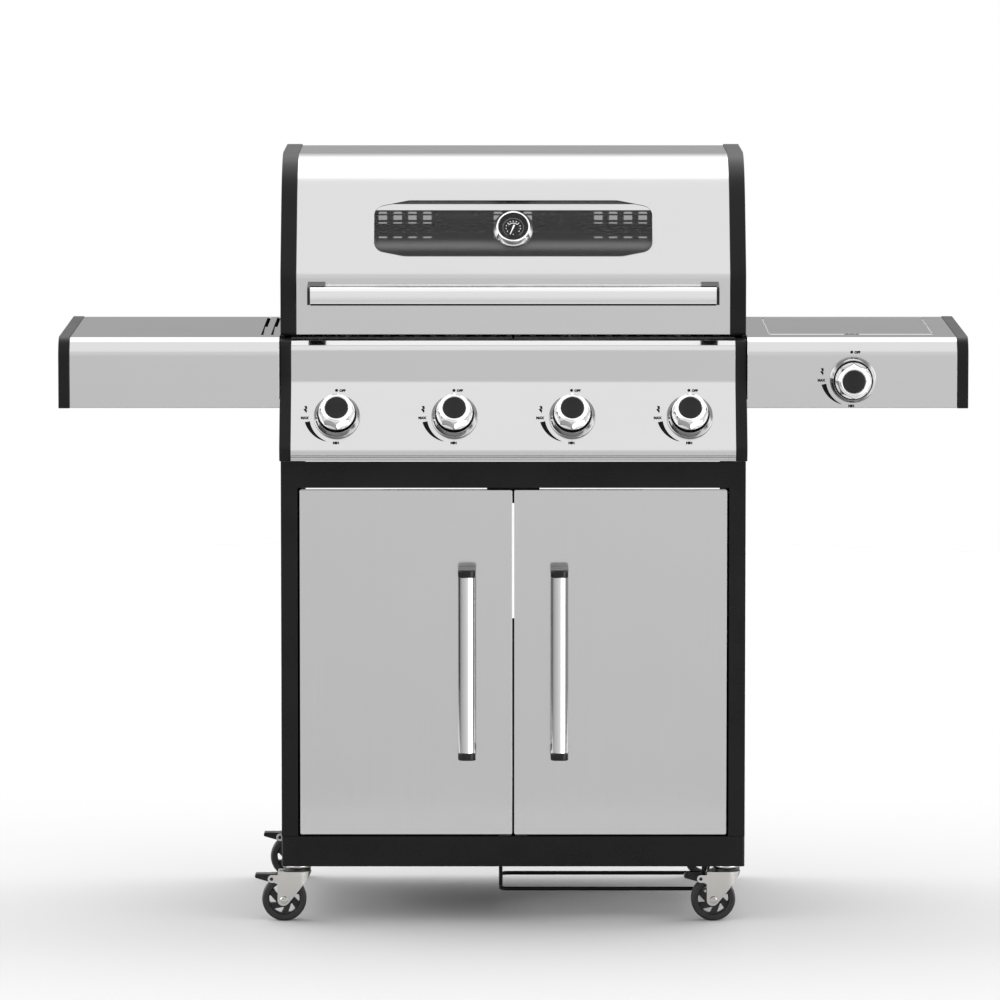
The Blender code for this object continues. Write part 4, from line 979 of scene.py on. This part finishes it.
def casters():
    """Four swivel casters: race, bearing, fork, wheel with its axle, and brake lever with its pin."""
    race = turned("race", rounded([(0, 0.0851), (0.0215, 0.0851), (0.0218, 0.0822), (0.0204, 0.0806),
                                   (0.0100, 0.0800), (0, 0.0800)], [0, 0.0008, 0.0012, 0.0006, 0, 0], 5,
                                  closed=False), steps=80)
    bearing = turned("bearing", rounded([(0, 0.0796), (0.0196, 0.0796), (0.0200, 0.0750), (0, 0.0750)],
                                        [0, 0.0012, 0.0006, 0], 4, closed=False), steps=80)
    axle_frame = Matrix.Translation((-TRAIL, 0, AXLE_Z))
    brake_frame = Matrix.Translation((BRAKE_X, 0, BRAKE_Z))
    shapes = ((fork(), "caster_fork", ZINC, "zinc_plate", "caster", FLAT),
              (race, "caster_race", ZINC, "zinc_plate", "grill", FLAT),
              (bearing, "caster_bearing", NYLON, "black_plastic", "caster", FLAT),
              (rivet(0.0052, 0.0196), "caster_axle", ZINC, "zinc_plate", "caster", axle_frame),
              (rivet(0.0026, 0.0182), "caster_brake_pin", NYLON, "black_plastic", "caster", brake_frame),
              (wheel(), "caster_wheel", TREAD, "caster_rubber", "wheel", axle_frame @ FACING),
              (lever(), "caster_brake", NYLON, "black_plastic", "brake", FLAT))
    stands_for = {"caster_fork": "caster_fork", "caster_wheel": "wheel", "caster_brake": "brake_lever"}
    for end, y in (("front", 0.060), ("rear", 0.479)):
        for hand, x in (("left", -0.321), ("right", 0.318)):
            place = f"{end}_{hand}"
            for shape, name, material, slot, rides, at in shapes:
                piece = new_object(f"{name}_{place}_part", shape.data.copy())
                nodes = [f"{stands_for[name]}_{place}"] if name in stands_for else []
                body = rides if rides == "grill" else f"{rides}_{place}"
                finish(piece, material, body, slot, *nodes, at=Matrix.Translation((x, y, 0)) @ at)
    for shape, *_ in shapes:
        bpy.data.objects.remove(shape, do_unlink=True)


# ------------------------------------------------------------------ wires, burners and pipes
def bottle_holder():
    """Wire loop under the base tray, hung on four legs."""
    left, right, front, back, z = -0.0185, 0.290, 0.150, 0.305, 0.033
    loop = rounded(rectangle((left, front), (right, back)), 0.012, 8)
    piece = wire("bottle_holder_loop", [(x, y, z) for x, y in loop], 0.003, closed=True)
    legs = []
    for x in (left, right):
        for y in (front + 0.020, back - 0.020):
            legs.append(wire("leg", [(x, y, z), (x, y, 0.0855)], 0.0028))
    holder = joined("bottle_holder_wire", [piece] + legs)
    finish(smooth(holder, 50), ENAMEL, "grill", "black_enamel", "bottle_holder")


def warming_rack():
    """Welded wire shelf: rails along x, close wires across, a raised rear rail and bent legs."""
    half, front, back, z = 0.2975, 0.2725, 0.4375, 1.0135
    wires = [wire("rail", [(-half, back, height), (half, back, height)], radius, sides=3)
             for height, radius in ((z + 0.0152, 0.0013), (z + 0.0053, 0.0019))]
    for row in range(12):
        y = front + (back - front) * row / 11
        wires.append(wire("rail", [(-half, y, z), (half, y, z)], 0.0015, sides=2))
    for column in range(9):
        x = -half + 0.006 + column * (2 * half - 0.012) / 8
        wires.append(wire("cross", [(x, front, z - 0.003), (x, back, z - 0.003),
                                    (x, back + 0.0015, z + 0.0150)], 0.0014, sides=2))
    for x in (-half, half):
        for y in (front, back):
            wires.append(wire("leg", [(x, y, 0.8745), (x, y, z)], 0.0022, sides=3))
    finish(joined("warming_rack_wires", wires), WIRE, "grill", "steel_wire", "warming_rack")


def burners():
    """Four burner tubes with port rows drawn as near-black discs, painted shade of the holes, each under a
    folded flame tamer.
    """
    for index, x in enumerate(KNOB_X, 1):
        path = rounded([(0.049, 0.738), (0.082, 0.738), (0.122, 0.790), (0.448, 0.790)], 0.035, 12,
                       closed=False)
        tube = wire(f"burner_tube_{index}", [(x, y, z) for y, z in path], 0.012)
        collar = turned("collar", [(0.0126, 0.0), (0.0134, 0.0010), (0.0134, 0.0120), (0.0126, 0.0130),
                                   (0.0110, 0.0130), (0.0110, 0.0)],
                        Matrix.Translation((x, 0.0625, 0.738)) @ FACING, 48, ring=True)
        # painted shade: each port is a near-black disc on the tube standing for the shade inside the hole
        ports = [turned("port", [(0, 0.0004), (0.0012, 0.0004), (0.0012, -0.0006), (0, -0.0006)],
                        Matrix.Translation((x, y, 0.790)) @ Matrix.Rotation(radians(side * 62), 4, "Y")
                        @ Matrix.Translation((0, 0, 0.012)), 8)
                 for y in (0.15 + i * 0.0145 for i in range(20)) for side in (-1, 1)]
        dark = joined(f"burner_ports_{index}", ports)
        finish(joined(f"burner_tube_{index}_steel", [tube, collar]), BURNER, "grill", "burner_steel",
               f"burner_{index}")
        finish(dark, INK_AND_PORT_SHADE, "grill", "burner_steel")
        roof = sheet(f"flame_tamer_{index}", rounded([(-0.043, 0.824), (-0.036, 0.829), (0, 0.8495),
                                                      (0.036, 0.829), (0.043, 0.824)],
                                                     [0, 0.002, 0.004, 0.002, 0], 6, closed=False),
                     0.062, 0.468, 0.0010)
        roof.data.transform(Matrix.Translation((x, 0, 0)) @ Matrix.Rotation(pi / 2, 4,
                                                                            "Z") @ Matrix.Diagonal((1, -1, 1,
                                                                                                    1)))
        roof.data.flip_normals()
        finish(soften(roof, 0.0002, 2, 60), BURNER, "grill", "burner_steel")


def gas_parts():
    """Manifold and the five valve stems."""
    refined("gas_manifold", BRASS, "grill", "brass", 0.0002)
    for index in range(1, 6):
        refined(f"valve_stem_{index}", BRASS, f"valve_{index}", "brass", 0.0003)


def side_burner():
    """Pressed pan, burner head with a cap and a ring of ports drawn as near-black discs (painted shade of the
    holes), and a pot support.
    """
    refined("side_burner", PAN, "grill", "burner_pan", 0.0006)
    centre = Matrix.Translation((0.501, 0.227, 0))
    cap = turned("side_burner_cap", rounded([(0, 0.8665), (0.028, 0.8655), (0.0400, 0.8620), (0.0400, 0.8585),
                                             (0.0340, 0.8578), (0, 0.8578)],
                                            [0, 0.006, 0.0015, 0.0008, 0, 0], 5, closed=False), steps=80)
    finish(cap, IRON, "grill", "cast_iron", at=centre)
    # painted shade: each port is a near-black disc standing for the shade inside the hole
    ports = [turned("port", [(0, 0.0426), (0.0011, 0.0426), (0.0011, 0.0405), (0, 0.0405)],
                    Matrix.Rotation(radians(i * 12), 4, "Z") @ Matrix.Translation((0, 0, 0.8480))
                    @ Matrix.Rotation(pi / 2, 4, "Y"), 8) for i in range(30)]
    finish(joined("side_burner_ports", ports), INK_AND_PORT_SHADE, "grill", "cast_iron", at=centre)
    bars = []
    for i in range(4):
        turn = Matrix.Rotation(radians(45 + i * 90), 4, "Z")
        bars.append(wire("bar", [(0.030, 0, 0.8700), (0.118, 0, 0.8700), (0.121, 0, 0.8690),
                                 (0.1225, 0, 0.8665), (0.1225, 0, 0.8200)],
                         0.0024, frame_of=turn))
    hoop = [(0.060 * cos(radians(a)), 0.060 * sin(radians(a)), 0.8700) for a in range(0, 360, 8)]
    bars.append(wire("hoop", hoop, 0.0022, closed=True))
    finish(joined("side_burner_pot_support", bars), IRON, "grill", "cast_iron", at=centre)


def small_parts():
    """Shelf brackets and door pivots."""
    for side, name in SIDES:
        for y, end in ((0.040, "front"), (0.404, "rear")):
            outline = [(side * x, z) for x, z in ((0.3405, 0.780), (0.420, 0.800), (0.640, 0.858),
                                                  (0.640, 0.8730), (0.3405, 0.8730))]
            gusset = plate(f"shelf_bracket_{name}_{end}",
                           [rounded(outline, [0.003, 0.02, 0.004, 0.001, 0.001], 5)], -y - 0.002, -y, FACING)
            finish(soften(gusset, 0.0004), ENAMEL, "grill", "black_enamel")
        pins = [turned("pin", rounded([(0, high), (0.0032, high), (0.0032, low), (0, low)],
                                      [0, 0.0006, 0.0006, 0], 3, closed=False),
                       Matrix.Translation((side * 0.3125, 0.0330, 0)), 32)
                for low, high in ((0.1312, 0.1339), (0.6489, 0.6509))]
        finish(joined(f"door_pins_{name}", pins), ENAMEL, "grill", "black_enamel")


# ------------------------------------------------------------------ studio
def floor():
    """Round patch of pale floor."""
    shape = bmesh.new()
    bmesh.ops.create_circle(shape, cap_ends=True, radius=1.0, segments=128)
    bmesh.ops.transform(shape, matrix=Matrix.Translation((0, 1.8, 0)) @ Matrix.Diagonal((3.0, 3.2, 1, 1)),
                        verts=shape.verts)
    ground = from_bmesh("studio_floor", shape)
    plain = Surface("floor_paint", (0.40, 0.40, 0.40), 0.75, 0.0, Specular_IOR_Level=0.2)
    grain = plain.noise(3.0, detail=4.0)
    plain.rough(plain.spread(grain, 0.7, 0.8))
    ground.data.materials.append(plain.material)


# brightness of the studio along an arc from the floor in front (0) over the top (90) to the floor behind (180)
OVERHEAD = ((-180, 0.42), (-120, 0.50), (-90, 0.60), (-40, 0.75), (-15, 0.86), (-9, 0.93), (-5, 1.04),
            (0, 1.12), (12, 1.14), (19, 1.17), (24, 1.36), (30, 1.43), (88, 1.44), (93, 1.52), (97, 1.9),
            (101, 3.0), (139, 3.0), (143, 2.4), (147, 1.7), (152, 1.3), (157, 1.0), (162, 0.78), (167, 0.62),
            (171, 0.45), (180, 0.42))
# and around the horizon from the left (-90) past the front (0) to the right (90), as a share of that
AROUND = ((-180, 1.0), (-170, 1.0), (-158, 3.2), (-132, 3.2), (-124, 0.10), (-100, 0.05), (-88, 0.06),
          (-80, 0.20), (-68, 0.52), (-50, 0.66), (-20, 0.82), (0, 0.98), (10, 1.05), (16, 1.6), (20, 5.5),
          (56, 5.5), (60, 0.8), (66, 0.5), (73, 0.34), (80, 0.42), (90, 0.56), (104, 0.9), (120, 3.2),
          (158, 3.2), (170, 1.0), (180, 1.0))


# the same for the soft boxes at the sides, between the horizon and a third of the way up
BESIDE = ((-180, 1.0), (-165, 1.0), (-140, 4.0), (-45, 4.0), (-20, 1.0), (20, 1.0), (45, 4.0), (140, 4.0),
          (165, 1.0), (180, 1.0))
# the upward part of a direction that each of those two reaches, and the width of the fade under it
HORIZON, BOX_TOP = (0.02, 0.05), (0.55, 0.25)
# a colour ramp holds levels up to 1, so they are divided by this and multiplied back
BRIGHTEST = 6.0


def sky():
    """A pale studio dome; the camera itself sees white."""
    world = bpy.data.worlds.new("studio")
    bpy.context.scene.world = world
    world.use_nodes = True
    tree = world.node_tree
    tree.nodes.clear()
    new, link = tree.nodes.new, tree.links.new
    axes = new("ShaderNodeSeparateXYZ")
    link(new("ShaderNodeTexCoord").outputs["Generated"], axes.inputs[0])

    def maths(operation, a, b):
        return calculated(tree, operation, a, b)

    def by_angle(rise, run, stops):
        turn = maths("ARCTAN2", rise, run)
        share = maths("ADD", maths("DIVIDE", turn, 2 * pi), 0.5)
        made = new("ShaderNodeValToRGB")
        band = made.color_ramp
        while len(band.elements) < len(stops):
            band.elements.new(0.5)
        for element, (angle, level) in zip(band.elements, stops):
            element.position = angle / 360 + 0.5
            element.color = (*[level / BRIGHTEST] * 3, 1.0)
        link(share, made.inputs["Fac"])
        return maths("MULTIPLY", made.outputs["Color"], BRIGHTEST)

    front = maths("MULTIPLY", axes.outputs["Y"], -1.0)
    overhead = by_angle(axes.outputs["Z"], front, OVERHEAD)
    around = by_angle(axes.outputs["X"], front, AROUND)
    beside = by_angle(axes.outputs["X"], front, BESIDE)

    def below(top, width):
        return remapped(tree, axes.outputs["Z"], (top - width, top), (1.0, 0.0), "SMOOTHSTEP")

    def blend(share, a, b):
        return maths("ADD", maths("MULTIPLY", maths("SUBTRACT", a, b), share), b)

    share = blend(below(*HORIZON), around, blend(below(*BOX_TOP), beside, 1.0))
    light = new("ShaderNodeBackground")
    light.inputs["Color"].default_value = (1, 1, 1, 1)
    link(maths("MULTIPLY", overhead, share), light.inputs["Strength"])
    white = new("ShaderNodeBackground")
    white.inputs["Color"].default_value = (1, 1, 1, 1)
    choose = new("ShaderNodeMixShader")
    link(new("ShaderNodeLightPath").outputs["Is Camera Ray"], choose.inputs["Fac"])
    link(light.outputs[0], choose.inputs[1])
    link(white.outputs[0], choose.inputs[2])
    link(choose.outputs[0], new("ShaderNodeOutputWorld").inputs["Surface"])


def camera():
    lens = bpy.data.cameras.new("camera")
    lens.lens = 267.85
    lens.sensor_width = 36
    made = bpy.data.objects.new("camera", lens)
    made.location = (-0.0196, -11.136, 1.767)
    made.rotation_euler = (pi / 2 - 0.1033, 0, 0)
    bpy.context.scene.collection.objects.link(made)
    bpy.context.scene.camera = made


hood()
lid_caps()
window()
lid_handle()
thermometer()
panel()
knobs()
shelves()
doors()
cabinet()
casters()
bottle_holder()
warming_rack()
burners()
gas_parts()
side_burner()
small_parts()
floor()
sky()
camera()
bpy.context.scene.view_settings.view_transform = "Standard"
